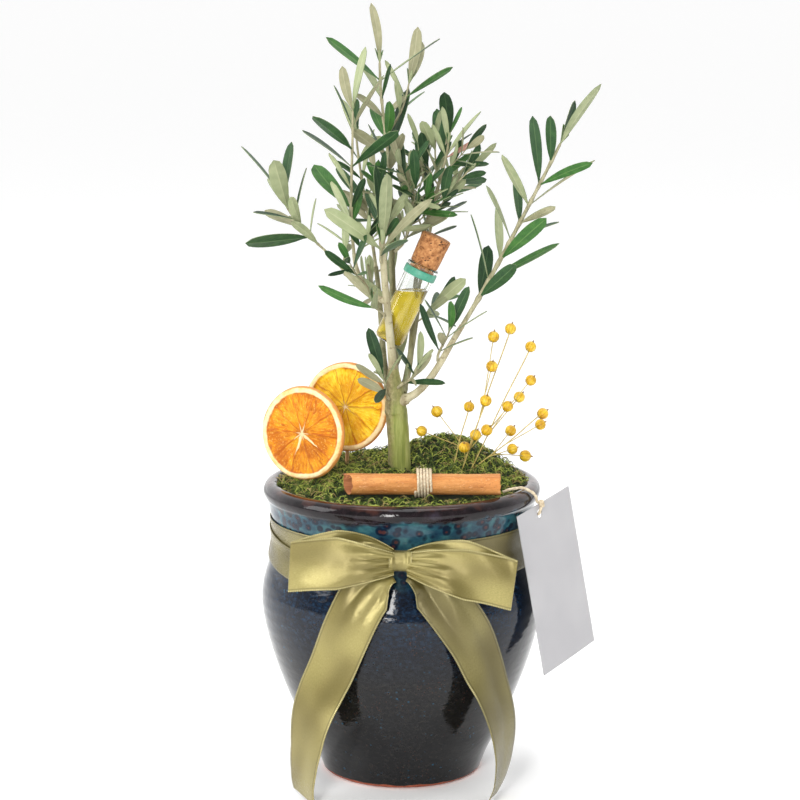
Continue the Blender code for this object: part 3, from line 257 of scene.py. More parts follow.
# Flax: for each sprig its foot and, for each pod, the stem's length and lean in the photo's
# plane and its lean towards the back; the first pod ends the main stem
FLAX_FOOT = Vector((0.0310, 0.0030, 0.0))
FLAX_DEPTH = 0.0055
FLAX_STEM = 0.00045
FLAX_POD = 0.0027
FLAX_SPRIGS = (
    ((0.0000, 0.0000), ((0.0750, 19, 6), (0.0690, 13, 2), (0.0560, 15, -8))),
    ((0.0035, -0.0035), ((0.0720, 25, -4), (0.0580, 32, -10), (0.0460, 33, 0), (0.0410, 28, -14))),
    ((-0.0010, -0.0060), ((0.0430, 17, -18), (0.0290, 28, -24), (0.0215, 20, -10), (0.0160, 6, -26))),
    ((0.0060, 0.0010), ((0.0450, 51, 4), (0.0410, 55, -6), (0.0270, 44, 8), (0.0220, 62, -2),
                        (0.0270, 76, 6))),
    ((-0.0050, -0.0010), ((0.0320, 15, 6), (0.0300, -16, 0), (0.0250, -40, -6))),
)

# Ribbon: its cloth, the band round the neck and the knot
CLOTH = 0.00045
RIBBON_WIDTH = 0.025
# Share of the satin's colour in its darker copy on the band and the right tail: painted shade
SATIN_SHADE = 0.62
BAND_TOP = 0.1335
BAND_WAIST = 0.1220
BAND_BOTTOM = 0.1120
BAND_GATHER = 0.013
BAND_PINCH = 0.0042
BAND_PROUD = 0.00062
# Where the ribbon's second turn lies over the first, and how far it has slipped down at its end
BAND_CROSSING = (math.radians(165.0), math.radians(236.0))
BAND_SLIP = 0.0075
KNOT_CENTRE = Vector((-0.0008, -0.0724, 0.1258))
KNOT_SIZE = Vector((0.0115, 0.0090, 0.0105))

LOOP_BULGE = 0.0046
LOOP_FOOT = 0.0016
LOOP_FORWARD = 0.0016
LOOP_LEAN = 0.24
LOOP_PINCH = 0.0078
# Bow loops: side, reach of the far end, drop of the far end and rise of the middle
LOOPS = {
    "left": (-1, 0.0535, -0.0015, 0.0022),
    "right": (1, 0.0550, -0.0108, 0.0012),
}
# Bow tails: for each station x, y and z of the ribbon's middle, and the turn of its face about
# the vertical in degrees
TAILS = {
    "left": (
        (-0.0050, -0.0742, 0.1195, 4), (-0.0120, -0.0762, 0.1165, 8),
        (-0.0200, -0.0752, 0.1060, 14), (-0.0285, -0.0712, 0.0865, 20),
        (-0.0350, -0.0690, 0.0710, 27), (-0.0398, -0.0676, 0.0590, 33),
        (-0.0460, -0.0655, 0.0400, 45), (-0.0488, -0.0640, 0.0250, 56),
        (-0.0490, -0.0620, 0.0120, 62), (-0.0480, -0.0605, 0.0026, 64),
    ),
    "right": (
        (0.0040, -0.0742, 0.1205, -4), (0.0130, -0.0765, 0.1160, -8),
        (0.0220, -0.0757, 0.1050, -16), (0.0335, -0.0702, 0.0865, -25),
        (0.0405, -0.0672, 0.0710, -35), (0.0448, -0.0652, 0.0590, -48),
        (0.0495, -0.0630, 0.0400, -58), (0.0508, -0.0620, 0.0250, -68),
        (0.0490, -0.0610, 0.0120, -74), (0.0450, -0.0605, 0.0026, -76),
    ),
}
# Swelling of a tail along its run: depth, waves in radians a metre, where they start and the
# length over which they die out
TAIL_WAVES = {"left": (0.0019, 135.0, 2.9, 0.120), "right": (0.0018, 120.0, 2.9, 0.070)}
# Least distance of a tail's middle surface from the glaze
TAIL_CLEAR = 0.0009

# Tag: its middle, its turn about the vertical, the lean of its top to the pot and its own roll
TAG_CENTRE = Vector((0.0782, -0.0205, 0.1034))
TAG_SIZE = Vector((0.0503, 0.0006, 0.0837))
TAG_TURN = math.radians(54.8)
TAG_LEAN = math.radians(6.8)
TAG_ROLL = math.radians(7.8)
TAG_HOLE = Vector((-0.0055, 0.0372))
TAG_HOLE_RADIUS = 0.0022
TWINE_RADIUS = 0.0008
TWINE_TWIST = 0.0026
# Twine over the lip, from one direction about the pot to another: share of the turn, distance
# from the pot's axis and height
TWINE_WAYS = (Vector((0.860, -0.510, 0.0)), Vector((0.930, -0.368, 0.0)))
TWINE_OVER_LIP = ((0.0, 0.0585, 0.1508), (0.15, 0.0605, 0.1518), (0.30, 0.0634, 0.1526),
                  (0.55, 0.0668, 0.1528), (0.80, 0.0708, 0.1504), (0.95, 0.0722, 0.1480))

# Floor and surroundings
FLOOR_LEVEL = -0.0004
FLOOR_SIZE = 60.0
WORLD_FRONT = 0.36
WORLD_BACK = 1.55

# Lights: place, size in metres, power and colour, and the point that they all face
LIGHT_AIM = Vector((0.0, 0.0, 0.19))
LIGHTS = (
    ("window", (-0.30, -1.60, 0.72), (0.26, 1.00), 20.0, (1.0, 0.99, 0.97)),
    ("left", (-1.30, -0.35, 0.80), (0.60, 0.80), 7.0, (1.0, 1.0, 1.0)),
    ("top", (0.10, -0.10, 1.60), (1.10, 1.10), 11.0, (1.0, 1.0, 1.0)),
)

# Finer sprigs: parent limb, lowest and highest share of it, number, length of a sprig, leaf
# length and seed
SPRIGS = (
    ("leaves_centre", 0.25, 0.98, 5, 0.024, 0.0200, 3),
    ("leaves_upper_right", 0.05, 0.70, 4, 0.024, 0.0190, 4),
    ("bough_upper_right", 0.66, 0.98, 3, 0.026, 0.0200, 5),
    ("bough_leader", 0.70, 0.98, 2, 0.026, 0.0210, 6),
    ("bough_left", 0.45, 0.95, 2, 0.022, 0.0190, 8),
    ("bough_far_left", 0.30, 0.90, 1, 0.020, 0.0180, 9),
    ("bough_front", 0.60, 0.90, 1, 0.024, 0.0230, 10),
    ("bough_back_left", 0.50, 0.98, 3, 0.026, 0.0220, 11),
    ("bough_back_right", 0.50, 0.98, 4, 0.026, 0.0220, 12),
    ("leaves_back_right", 0.10, 0.70, 2, 0.024, 0.0220, 14),
    ("leaves_back", 0.20, 0.95, 2, 0.022, 0.0210, 15),
)
# What finer sprigs keep clear of, how far their stems and leaves stay off it, and their reach
KEEP_CLEAR = ("pot", "moss", "bottle", "orange", "cinnamon", "flax", "tag", "trunk")
STEM_CLEAR = 0.0016
LEAF_CLEAR = 0.0012
REACH_LOW = Vector((-0.0780, -0.0560, 0.1750))
REACH_HIGH = Vector((0.0930, 0.0700, 0.3850))


class Skin:
    """Corners and faces of one piece, gathered from many small shapes."""

    def __init__(self):
        self.points = []
        self.faces = []
        self.kinds = []
        self.spots = []

    def add(self, points, faces, kind=0, spots=None):
        start = len(self.points)
        self.points.extend(points)
        self.faces.extend(tuple(start + corner for corner in face) for face in faces)
        self.kinds.extend([kind] * len(faces))
        self.spots.extend(spots or [(0.0, 0.0)] * len(points))

    def grid(self, rows, kind=0, around=False, ring=False, flip=False, spots=None):
        """Add rows of corners. Around joins each row's ends and ring joins the last row to the first."""
        count, deep = len(rows[0]), len(rows)
        start = len(self.points)
        for index, row in enumerate(rows):
            self.points.extend(row)
            if spots is None:
                self.spots.extend((column / max(count - 1, 1), index / max(deep - 1, 1))
                                  for column in range(count))
            else:
                self.spots.extend(spots[index])
        for index in range(deep if ring else deep - 1):
            after = (index + 1) % deep
            for column in range(count if around else count - 1):
                beside = (column + 1) % count
                face = (start + index * count + column, start + index * count + beside,
                        start + after * count + beside, start + after * count + column)
                self.faces.append(face[::-1] if flip else face)
                self.kinds.append(kind)

    def cap(self, row, kind=0, flip=False):
        """Close a ring of corners with a fan of faces."""
        centre = sum(row, Vector()) / len(row)
        count = len(row)
        faces = [(index, (index + 1) % count, count) for index in range(count)]
        if flip:
            faces = [face[::-1] for face in faces]
        self.add(list(row) + [centre], faces, kind)

    def closed(self, rows, kind=0, last_kind=0, flip=False):
        """Add rings of corners and close them at both ends."""
        self.grid(rows, kind, around=True, flip=flip)
        self.cap(rows[0], kind, flip=not flip)
        self.cap(rows[-1], last_kind or kind, flip=flip)


def piece(name, skin, materials, nodes=(), smooth=True, matrix=None):
    """Make an object of a skin. It rides on the root, and the CAD nodes named are hidden."""
    mesh = bpy.data.meshes.new(name)
    points = np.array([tuple(point) for point in skin.points], dtype=np.float64)
    if matrix is not None:
        points = points @ np.array(matrix.to_3x3()).T + np.array(matrix.translation)
    mesh.from_pydata(points.tolist(), [], skin.faces)
    for material in materials:
        mesh.materials.append(material)
    mesh.polygons.foreach_set("material_index", skin.kinds)
    layer = mesh.uv_layers.new(name="UVMap")
    corners = np.zeros(len(mesh.loops), dtype=np.int32)
    mesh.loops.foreach_get("vertex_index", corners)
    layer.data.foreach_set("uv", np.array(skin.spots, dtype=np.float32)[corners].ravel())
    if smooth:
        mesh.shade_smooth()
    mesh.update()
    made = bpy.data.objects.new(name, mesh)
    bpy.context.scene.collection.objects.link(made)
    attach(made, "root")
    if nodes:
        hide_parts(*nodes)
    return made


# Materials


def srgb(red, green, blue):
    """Linear colour of an 8-bit screen colour."""
    def linear(value):
        value /= 255.0
        return value / 12.92 if value <= 0.04045 else ((value + 0.055) / 1.055) ** 2.4
    return linear(red), linear(green), linear(blue), 1.0


def start_material(name, colour, roughness, **sockets):
    material = bpy.data.materials.new(name)
    material.use_nodes = True
    shader = material.node_tree.nodes["Principled BSDF"]
    shader.inputs["Base Color"].default_value = colour
    shader.inputs["Roughness"].default_value = roughness
    for key, value in sockets.items():
        shader.inputs[key.replace("_", " ")].default_value = value
    return material, material.node_tree, shader


def feed(tree, socket, value):
    """Link another node's output to a socket, or set the socket's own value."""
    if isinstance(value, bpy.types.NodeSocket):
        tree.links.new(value, socket)
    else:
        socket.default_value = value


def put(tree, kind, **values):
    """Add a node and feed its inputs, or set its properties, by name."""
    made = tree.nodes.new(kind)
    for key, value in values.items():
        label = key.replace("_", " ")
        if label in made.inputs:
            feed(tree, made.inputs[label], value)
        else:
            setattr(made, key, value)
    return made


def stretched(tree, vector, scale):
    return put(tree, "ShaderNodeMapping", Scale=scale, Vector=vector).outputs["Vector"]


def place(tree, stretch=EVEN):
    """Object coordinates in metres, stretched."""
    where = put(tree, "ShaderNodeTexCoord").outputs["Object"]
    return where if stretch == EVEN else stretched(tree, where, stretch)


def unwrapped(tree):
    """Coordinates along and across the surface."""
    return put(tree, "ShaderNodeUVMap", uv_map="UVMap").outputs["UV"]


def parts(tree, vector):
    return put(tree, "ShaderNodeSeparateXYZ", Vector=vector).outputs


def spread(tree, scale, detail=4.0, rough=0.55, stretch=EVEN, vector=None):
    """Noise over the surface."""
    made = put(tree, "ShaderNodeTexNoise", Scale=scale, Detail=detail, Roughness=rough,
               Vector=vector or place(tree, stretch))
    return made.outputs["Fac"]


def cells(tree, scale, stretch=EVEN):
    """Distance from the nearest of many scattered points."""
    made = put(tree, "ShaderNodeTexVoronoi", Scale=scale, Vector=place(tree, stretch))
    return made.outputs["Distance"]


def ramp(tree, factor, stops):
    made = put(tree, "ShaderNodeValToRGB", Fac=factor)
    points = made.color_ramp.elements
    while len(points) < len(stops):
        points.new(0.5)
    for point, (position, colour) in zip(points, stops):
        point.position = position
        point.color = colour
    return made.outputs["Color"]


def steps(tree, factor, low, high):
    """0 at low, 1 at high, even between them and no further beyond them."""
    made = put(tree, "ShaderNodeMapRange", Value=factor, From_Min=low, From_Max=high)
    return made.outputs["Result"]


def maths(tree, operation, first, second=0.5):
    made = put(tree, "ShaderNodeMath", operation=operation)
    for socket, value in zip(made.inputs, (first, second)):
        feed(tree, socket, value)
    return made.outputs["Value"]


def times(tree, first, second):
    return maths(tree, "MULTIPLY", first, second)


def minus(tree, first, second):
    return maths(tree, "SUBTRACT", first, second)


def plus(tree, first, second, weight=1.0):
    """The first, and the second times a weight."""
    if weight != 1.0:
        second = times(tree, second, weight)
    return maths(tree, "ADD", first, second)


def away(tree, value, middle=0.5):
    """How far a value is from a middle."""
    return maths(tree, "ABSOLUTE", minus(tree, value, middle))


def blend(tree, factor, first, second, weight=1.0):
    """The second colour over the first, by a factor times a weight."""
    if weight != 1.0:
        factor = times(tree, factor, weight)
    made = put(tree, "ShaderNodeMix", data_type="RGBA")
    sockets = {socket.identifier: socket for socket in made.inputs}
    for label, value in (("Factor_Float", factor), ("A_Color", first), ("B_Color", second)):
        feed(tree, sockets[label], value)
    return next(item for item in made.outputs if item.identifier == "Result_Color")


def patched(tree, colour, tint, weight, low, high, *grain):
    """A colour with a tint over it, more and more as a noise goes from low to high."""
    return blend(tree, steps(tree, spread(tree, *grain), low, high), colour, tint, weight)


def relief(tree, shader, height, distance, strength=1.0):
    """Bump from a height, at a real depth in metres."""
    made = put(tree, "ShaderNodeBump", Height=height, Distance=distance, Strength=strength)
    tree.links.new(made.outputs["Normal"], shader.inputs["Normal"])


def paint(tree, shader, colour, roughness=None):
    tree.links.new(colour, shader.inputs["Base Color"])
    if roughness is not None:
        tree.links.new(roughness, shader.inputs["Roughness"])


def mottled(name, dark, light, scale, roughness, depth, stretch=EVEN):
    """A material that varies between two screen colours, with bump from finer noise."""
    dark, light = srgb(*dark), srgb(*light)
    material, tree, shader = start_material(name, dark, roughness)
    broad = spread(tree, scale, 5.0, 0.6, stretch)
    paint(tree, shader, ramp(tree, broad, ((0.32, dark), (0.68, light))))
    relief(tree, shader, spread(tree, scale * 3.0, 5.0, 0.65, stretch), depth)
    return material


# Shapes


def bezier(start, first, second, end, share):
    rest = 1.0 - share
    return (start * rest ** 3 + first * (3.0 * rest * rest * share)
            + second * (3.0 * rest * share * share) + end * share ** 3)


def smooth(points, steps_between):
    """Points on a smooth curve through given points, which may be vectors or tuples."""
    knots = [Vector(point) for point in points]
    line = []
    for index in range(len(knots) - 1):
        before = knots[max(index - 1, 0)]
        start, end = knots[index], knots[index + 1]
        after = knots[min(index + 2, len(knots) - 1)]
        for step in range(steps_between):
            share = step / steps_between
            line.append(bezier(start, start + (end - before) / 6.0, end - (after - start) / 6.0,
                               end, share))
    line.append(knots[-1])
    return line


def turns_of(count):
    """Angles of a full turn in even steps."""
    return [2.0 * math.pi * step / count for step in range(count)]


def polar(angle, reach, height=0.0):
    """Point at an angle about Z, at a distance from it and at a height."""
    return Vector((reach * math.cos(angle), reach * math.sin(angle), height))


def between(first, second, angle):
    """Direction at an angle from the first of two towards the second."""
    return first * math.cos(angle) + second * math.sin(angle)


def direction_at(centres, index):
    """Direction of a line at one of its centres."""
    before, after = centres[max(index - 1, 0)], centres[min(index + 1, len(centres) - 1)]
    return (after - before).normalized()


def carried_frames(centres):
    """Two directions across a line at each centre, with no twist."""
    side = (centres[1] - centres[0]).normalized().orthogonal().normalized()
    frames = []
    for index in range(len(centres)):
        axis = direction_at(centres, index)
        side = (side - axis * side.dot(axis)).normalized()
        frames.append((side, axis.cross(side)))
    return frames


def tube_rows(centres, radii, sides, shape=None):
    """Rings of a tube. A shape scales the radius by (angle, distance along, centre)."""
    rows = []
    run = 0.0
    for index, (first, second) in enumerate(carried_frames(centres)):
        if index:
            run += (centres[index] - centres[index - 1]).length
        ring = []
        for angle in turns_of(sides):
            reach = radii[index] * (shape(angle, run, centres[index]) if shape else 1.0)
            ring.append(centres[index] + between(first, second, angle) * reach)
        rows.append(ring)
    return rows


def add_tube(skin, centres, radii, sides, kind=0, shape=None):
    skin.closed(tube_rows(centres, radii, sides, shape), kind)


def twisted(strands, depth, pitch):
    """Shape of a cord twisted from strands."""
    def shape(angle, run, _):
        return 1.0 - depth + depth * abs(math.cos(strands / 2.0 * angle + math.pi * run / pitch))
    return shape


def turned_rows(outline, around, wobble=None):
    """Rings from a (radius, height) outline turned about Z."""
    rows = []
    for radius, height in outline:
        ring = []
        for angle in turns_of(around):
            reach = radius + (wobble(angle, radius, height) if wobble else 0.0)
            ring.append(polar(angle, reach, height))
        rows.append(ring)
    return rows


# The tree's rule, the same as the solids'


class Limb:
    """Centres and radii along one tapering limb."""

    def __init__(self, centres, radii):
        self.centres = centres
        self.radii = radii

    def at(self, share):
        """Centre, direction and radius at a share of the limb's stations."""
        spot = share * (len(self.centres) - 1)
        index = min(int(spot), len(self.centres) - 2)
        rest = spot - index
        low, high = self.centres[index], self.centres[index + 1]
        radius = self.radii[index] * (1.0 - rest) + self.radii[index + 1] * rest
        return low.lerp(high, rest), (high - low).normalized(), radius

    def seat(self, share, outward, leaving, radius):
        """Where a smaller limb starts, just clear of this one, and its direction there."""
        if share is None:
            centre, axis, _ = self.at(1.0)
            return centre + axis * GAP, axis
        centre, axis, own_radius = self.at(share)
        outward = (outward - axis * outward.dot(axis)).normalized()
        leaving = leaving.normalized()
        lift = radius * math.sin(outward.angle(leaving))
        return centre + outward * (own_radius + GAP + lift), leaving


def curved_limb(start, leaving, end, arriving, radii, rings):
    span = (end - start).length
    first = start + leaving.normalized() * span * 0.30
    second = end - arriving.normalized() * span * 0.34
    centres = [bezier(start, first, second, end, ring / (rings - 1)) for ring in range(rings)]
    foot, tip = radii
    return Limb(centres, [foot + (tip - foot) * ring / (rings - 1) for ring in range(rings)])


def seated_limb(limbs, row, rings, tip_share):
    parent, share, outward, leaving, end, arriving, radius = row
    if share is not None:
        outward = Vector(outward)
        leaving = Vector(leaving)
    start, leaving = limbs[parent].seat(share, outward, leaving, radius)
    radii = (radius, radius * tip_share)
    return curved_limb(start, leaving, Vector(end), Vector(arriving), radii, rings)


def rooted_line(limb, sunk, fine):
    """A limb's centres made smooth, with its foot sunk into its parent."""
    foot = limb.centres[0] - (limb.centres[1] - limb.centres[0]).normalized() * sunk
    return smooth([foot] + limb.centres, fine)


def frame_across(axis):
    """Two directions across an axis: the first as near to the front as it can be."""
    front = FRONT if abs(axis.dot(FRONT)) <= 0.95 else UP
    first = (front - axis * front.dot(axis)).normalized()
    return first, axis.cross(first)


def leaf_at(base, axis, turn, spread_angle, length, slim, twist):
    """One leaf: it leaves base at an angle to axis and shows its upper side to the stem's tip."""
    first, second = frame_across(axis)
    outward = between(first, second, turn)
    along = between(axis, outward, spread_angle)
    upper = axis * math.sin(spread_angle) - outward * math.cos(spread_angle)
    upper.rotate(Matrix.Rotation(twist, 3, along))
    return {"base": base, "along": along, "upper": upper, "length": length, "width": length * slim}


def leaf_pairs(limb, pairs, first_share, leaf_length, turn, chance):
    """Opposite pairs of leaves along a stem, each pair turned a quarter from the one before."""
    leaves = []
    for pair in range(pairs):
        share = first_share + (1.0 - first_share) * (pair + 1) / pairs
        share = min(share + chance.uniform(-0.02, 0.02), LAST_LEAF)
        base, axis, _ = limb.at(share)
        pair_turn = turn + math.radians(90.0 * pair + chance.uniform(-18.0, 18.0))
        for side in range(2):
            spread_angle = math.radians(chance.uniform(22.0, 60.0))
            if pair == pairs - 1:
                spread_angle = math.radians(chance.uniform(6.0, 26.0))
            length = leaf_length * chance.uniform(0.60, 1.12)
            slim = chance.uniform(*LEAF_SLIM)
            if chance.random() < LEAF_NARROW_CHANCE:
                slim = LEAF_SLIM[0] * LEAF_SLIMMEST
            twist = math.radians(chance.uniform(-35.0, 35.0))
            leaf_turn = pair_turn + math.pi * side
            leaves.append(leaf_at(base, axis, leaf_turn, spread_angle, length, slim, twist))
    return leaves


def grow(limb, pairs, leaf_length, turn, twigs, seed):
    """Twigs and leaves of one mass, from its stem and its seed."""
    chance = random.Random(seed)
    turn = math.radians(turn)
    branches = [(limb, leaf_pairs(limb, pairs, 0.06, leaf_length, turn, chance))]
    for twig in range(twigs):
        share = 0.22 + 0.42 * (twig + chance.uniform(0.2, 0.8)) / twigs
        base, axis, radius = limb.at(share)
        first, second = frame_across(axis)
        twig_turn = turn + math.radians(90.0 + 180.0 * twig + chance.uniform(-30.0, 30.0))
        outward = between(first, second, twig_turn)
        leaving = (axis * 0.75 + outward).normalized()
        span = (limb.centres[-1] - limb.centres[0]).length * chance.uniform(0.34, 0.50)
        end = base + leaving * span * 0.75 + axis * span * 0.35
        side = curved_limb(base, leaving, end, axis + outward * 0.3,
                           (radius * 0.75, radius * 0.55), TWIG_RINGS)
        leaves = leaf_pairs(side, 2 + chance.randrange(2), 0.25, leaf_length * 0.85,
                            twig_turn + 0.6, chance)
        branches.append((side, leaves))
    return branches


# Leaves and twigs


def leaf_material(name, dark, light, vein, roughness, shine):
    """A leaf's side: a paler midrib, faint side veins and a little unevenness."""
    dark, light, vein = srgb(*dark), srgb(*light), srgb(*vein)
    material, tree, shader = start_material(name, dark, roughness, Specular_IOR_Level=shine)
    part = parts(tree, unwrapped(tree))
    from_rib = away(tree, part["X"])
    uneven = ramp(tree, spread(tree, 260.0, 4.0), ((0.35, dark), (0.70, light)))
    slant = minus(tree, times(tree, part["Y"], 16.0), times(tree, from_rib, 9.0))
    side_vein = away(tree, maths(tree, "FRACT", slant))
    veined = blend(tree, steps(tree, side_vein, 0.10, 0.0), uneven, vein, 0.30)
    paint(tree, shader, blend(tree, steps(tree, from_rib, 0.045, 0.015), veined, vein, 0.8))
    height = maths(tree, "MINIMUM", steps(tree, side_vein, 0.0, 0.14),
                   steps(tree, from_rib, 0.0, 0.05))
    relief(tree, shader, height, 0.00008)
    return material


def leaf_fullness(share):
    """Half width along a leaf, as a share of its widest: a stalk, a slim blade and a blunt tip."""
    blade = max(0.0, (share - 0.06) / 0.94)
    lens = 1.86 * blade ** 0.74 * (1.0 - blade) ** 0.47 if 0.0 < blade < 1.0 else 0.0
    return max(0.09 * (1.0 - share) ** 2, min(lens, 1.0))


def add_leaf(skin, leaf, chance, kinds):
    """Put both sides and the margin of one leaf in the skin."""
    upper_kind, under_kind = kinds
    along, length = leaf["along"], leaf["length"]
    hang = chance.uniform(0.5, 1.0) * LEAF_CURL * length
    turn_on = math.radians(chance.uniform(-22.0, 22.0))
    sway = chance.uniform(-0.035, 0.035) * length
    trough = chance.uniform(0.10, 0.24)
    top_rows, low_rows, spots = [], [], []
    for station in range(LEAF_STATIONS):
        share = (station / (LEAF_STATIONS - 1)) ** 0.92
        upper = leaf["upper"].copy()
        upper.rotate(Matrix.Rotation(turn_on * share, 3, along))
        side = along.cross(upper).normalized()
        centre = leaf["base"] + along * (length * share) - leaf["upper"] * hang * share * share
        centre = centre + side * sway * math.sin(math.pi * share)
        half = max(leaf["width"] / 2.0 * leaf_fullness(share), 0.00012)
        top, low, spot = [], [], []
        for across in LEAF_ACROSS:
            rise = half * (trough * (across * across) - trough * 0.45)
            rise -= half * 0.16 * max(0.0, abs(across) - 0.62)
            rib = 0.00010 * max(0.0, 1.0 - abs(across) / 0.2)
            point = centre + side * half * across + upper * rise
            top.append(point + upper * (LEAF_DEPTH / 2.0 - rib))
            low.append(point - upper * (LEAF_DEPTH / 2.0 + rib * 1.6))
            spot.append((0.5 + across / 2.0, share))
        top_rows.append(top)
        low_rows.append(low)
        spots.append(spot)
    skin.grid(top_rows, upper_kind, flip=True, spots=spots)
    skin.grid(low_rows, under_kind, spots=spots)
    for column, flip in ((0, False), (-1, True)):
        edge = [[low[column], top[column]] for low, top in zip(low_rows, top_rows)]
        skin.grid(edge, MARGIN, flip=flip)


def add_twig(skin, limb, node_shares, sunk=0.0008):
    """A slim stem with a small swelling at each pair of leaves."""
    fine = 6
    centres = rooted_line(limb, sunk, fine)
    radii = []
    last = len(centres) - 1
    for index in range(len(centres)):
        share = max(0.0, (index - fine) / (last - fine))
        _, _, radius = limb.at(share)
        swell = sum(math.exp(-((share - spot) / 0.018) ** 2) for spot in node_shares)
        radii.append(radius * (0.92 + 0.38 * min(swell, 1.0)))
    radii[-1] *= 0.55
    add_tube(skin, centres, radii, 8)


def near_solid(tree, point):
    _, _, _, distance = tree.find_nearest(point)
    return distance is not None and distance < FOUND_WITHIN


def solid_tree(name):
    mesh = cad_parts[name].data
    return BVHTree.FromPolygons([vertex.co.copy() for vertex in mesh.vertices],
                                [tuple(face.vertices) for face in mesh.polygons])


def leaf_kinds(chance, turned_over=0.40):
    """Materials of a leaf's two sides. Some leaves are turned over on their stalks."""
    upper = chance.choice((UPPER_DEEP, UPPER, UPPER, UPPER_FRESH))
    under = chance.choice((UNDER_PALE, UNDER_PALE, UNDER, UNDER_WARM))
    return (under, upper) if chance.random() < turned_over else (upper, under)


def blocked(point, obstacles, clearance):
    return any(tree.find_nearest(point, clearance)[0] is not None for tree in obstacles)


def before_bottle(point):
    """Whether a point would hide the bottle, or show through it, from the front."""
    along = BOTTLE_AXIS.dot(point - BOTTLE_FOOT)
    beside = point - BOTTLE_FOOT - BOTTLE_AXIS * along
    return BOTTLE_VIEW[0] < along < BOTTLE_VIEW[1] and abs(beside.x) < BOTTLE_VIEW_ASIDE


def leaf_line(leaf, shares):
    """Points down the middle of a leaf."""
    return [leaf["base"] + leaf["along"] * leaf["length"] * share
            - leaf["upper"] * LEAF_CURL * leaf["length"] * share * share for share in shares]


def within_reach(point):
    return all(low < value < high for low, value, high in zip(REACH_LOW, point, REACH_HIGH))


def add_finer_sprigs(limbs, leaves_skin, twigs_skin):
    """Side shoots by the same rule, thinner than the solids' twigs, inside the same crown."""
    obstacles = [solid_tree(name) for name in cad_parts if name.startswith(KEEP_CLEAR)]
    for parent, low, high, count, span, leaf_length, seed in SPRIGS:
        chance = random.Random(seed)
        limb = limbs[parent]
        for shoot in range(count):
            share = low + (high - low) * (shoot + chance.uniform(0.1, 0.9)) / count
            base, axis, radius = limb.at(share)
            first, second = frame_across(axis)
            turn = chance.uniform(0.0, 2.0 * math.pi)
            outward = between(first, second, turn)
            leaving = (axis * chance.uniform(0.4, 0.9) + outward).normalized()
            reach = span * chance.uniform(0.7, 1.1)
            end = base + leaving * reach * 0.7 + UP * reach * 0.3
            foot = min(0.00055, radius * 0.6)
            twig = curved_limb(base, leaving, end, leaving + UP * 0.6, (foot, foot * 0.6),
                               TWIG_RINGS)
            if any(blocked(centre, obstacles, STEM_CLEAR) or before_bottle(centre)
                   for centre in twig.centres[1:]):
                continue
            add_twig(twigs_skin, twig, [0.4, 0.7], 0.0)
            pairs = 3 + chance.randrange(3)
            for leaf in leaf_pairs(twig, pairs, 0.12, leaf_length, turn + 0.6, chance):
                line = leaf_line(leaf, (0.25, 0.5, 0.75, 1.0))
                kinds = leaf_kinds(chance, 0.16)
                if not within_reach(line[-1]):
                    continue
                if not any(blocked(point, obstacles, LEAF_CLEAR) or before_bottle(point)
                           for point in line):
                    add_leaf(leaves_skin, leaf, chance, kinds)


def make_foliage(limbs):
    leaves_skin, twigs_skin = Skin(), Skin()
    stems = dict(limbs)
    for name, row in MASSES.items():
        pairs, leaf_length, turn, twigs, seed = row[7:]
        stem = seated_limb(limbs, row[:7], STEM_RINGS, 0.6)
        stems[name] = stem
        solid = solid_tree(name)
        chance = random.Random(seed + 9)
        thinning = random.Random(seed + 21)
        for branch, leaves in grow(stem, pairs, leaf_length, turn, twigs, seed):
            middle, _, _ = branch.at(0.5)
            if branch is not stem and not near_solid(solid, middle):
                continue
            nodes = [0.06 + 0.94 * (pair + 1) / pairs for pair in range(pairs - 1)]
            add_twig(twigs_skin, branch, nodes if branch is stem else [0.5])
            for leaf in leaves:
                kinds = leaf_kinds(chance)
                if thinning.random() < THINNED.get(name, 0.0):
                    continue
                if all(near_solid(solid, point) for point in leaf_line(leaf, (0.3, 0.55, 0.8))):
                    add_leaf(leaves_skin, leaf, chance, kinds)
            tip, axis, _ = branch.at(1.0)
            for bud in range(3):
                bud_leaf = leaf_at(tip - axis * 0.001, axis, bud * 2.1, math.radians(14.0),
                                   leaf_length * chance.uniform(0.16, 0.28), 0.26, 0.0)
                add_leaf(leaves_skin, bud_leaf, chance, (UPPER_FRESH, UNDER_PALE))
    stem_name, share, length = WITHERED
    base, axis, _ = stems[stem_name].at(share)
    first, second = frame_across(axis)
    turn = math.atan2(second.x, first.x)
    withered = leaf_at(base, axis, turn, math.radians(44.0), length, 0.24, 0.5)
    add_leaf(leaves_skin, withered, random.Random(5), (DRY, DRY))
    sprig_leaves = Skin()
    add_finer_sprigs(stems, sprig_leaves, twigs_skin)
    sides = [leaf_material(name, *row) for name, row in LEAF_SIDES.items()]
    sides.append(mottled("leaf_margin", (96, 112, 76), (130, 144, 100), 300.0, 0.6, 0.00002))
    piece("olive_leaves", leaves_skin, sides, tuple(MASSES))
    piece("sprig_leaves", sprig_leaves, sides)
    bark = mottled("twig_bark", (122, 118, 88), (184, 178, 146), 420.0, 0.76, 0.00012,
                   stretch=(1.0, 1.0, 0.35))
    piece("olive_twigs", twigs_skin, [bark])


# Trunk and boughs


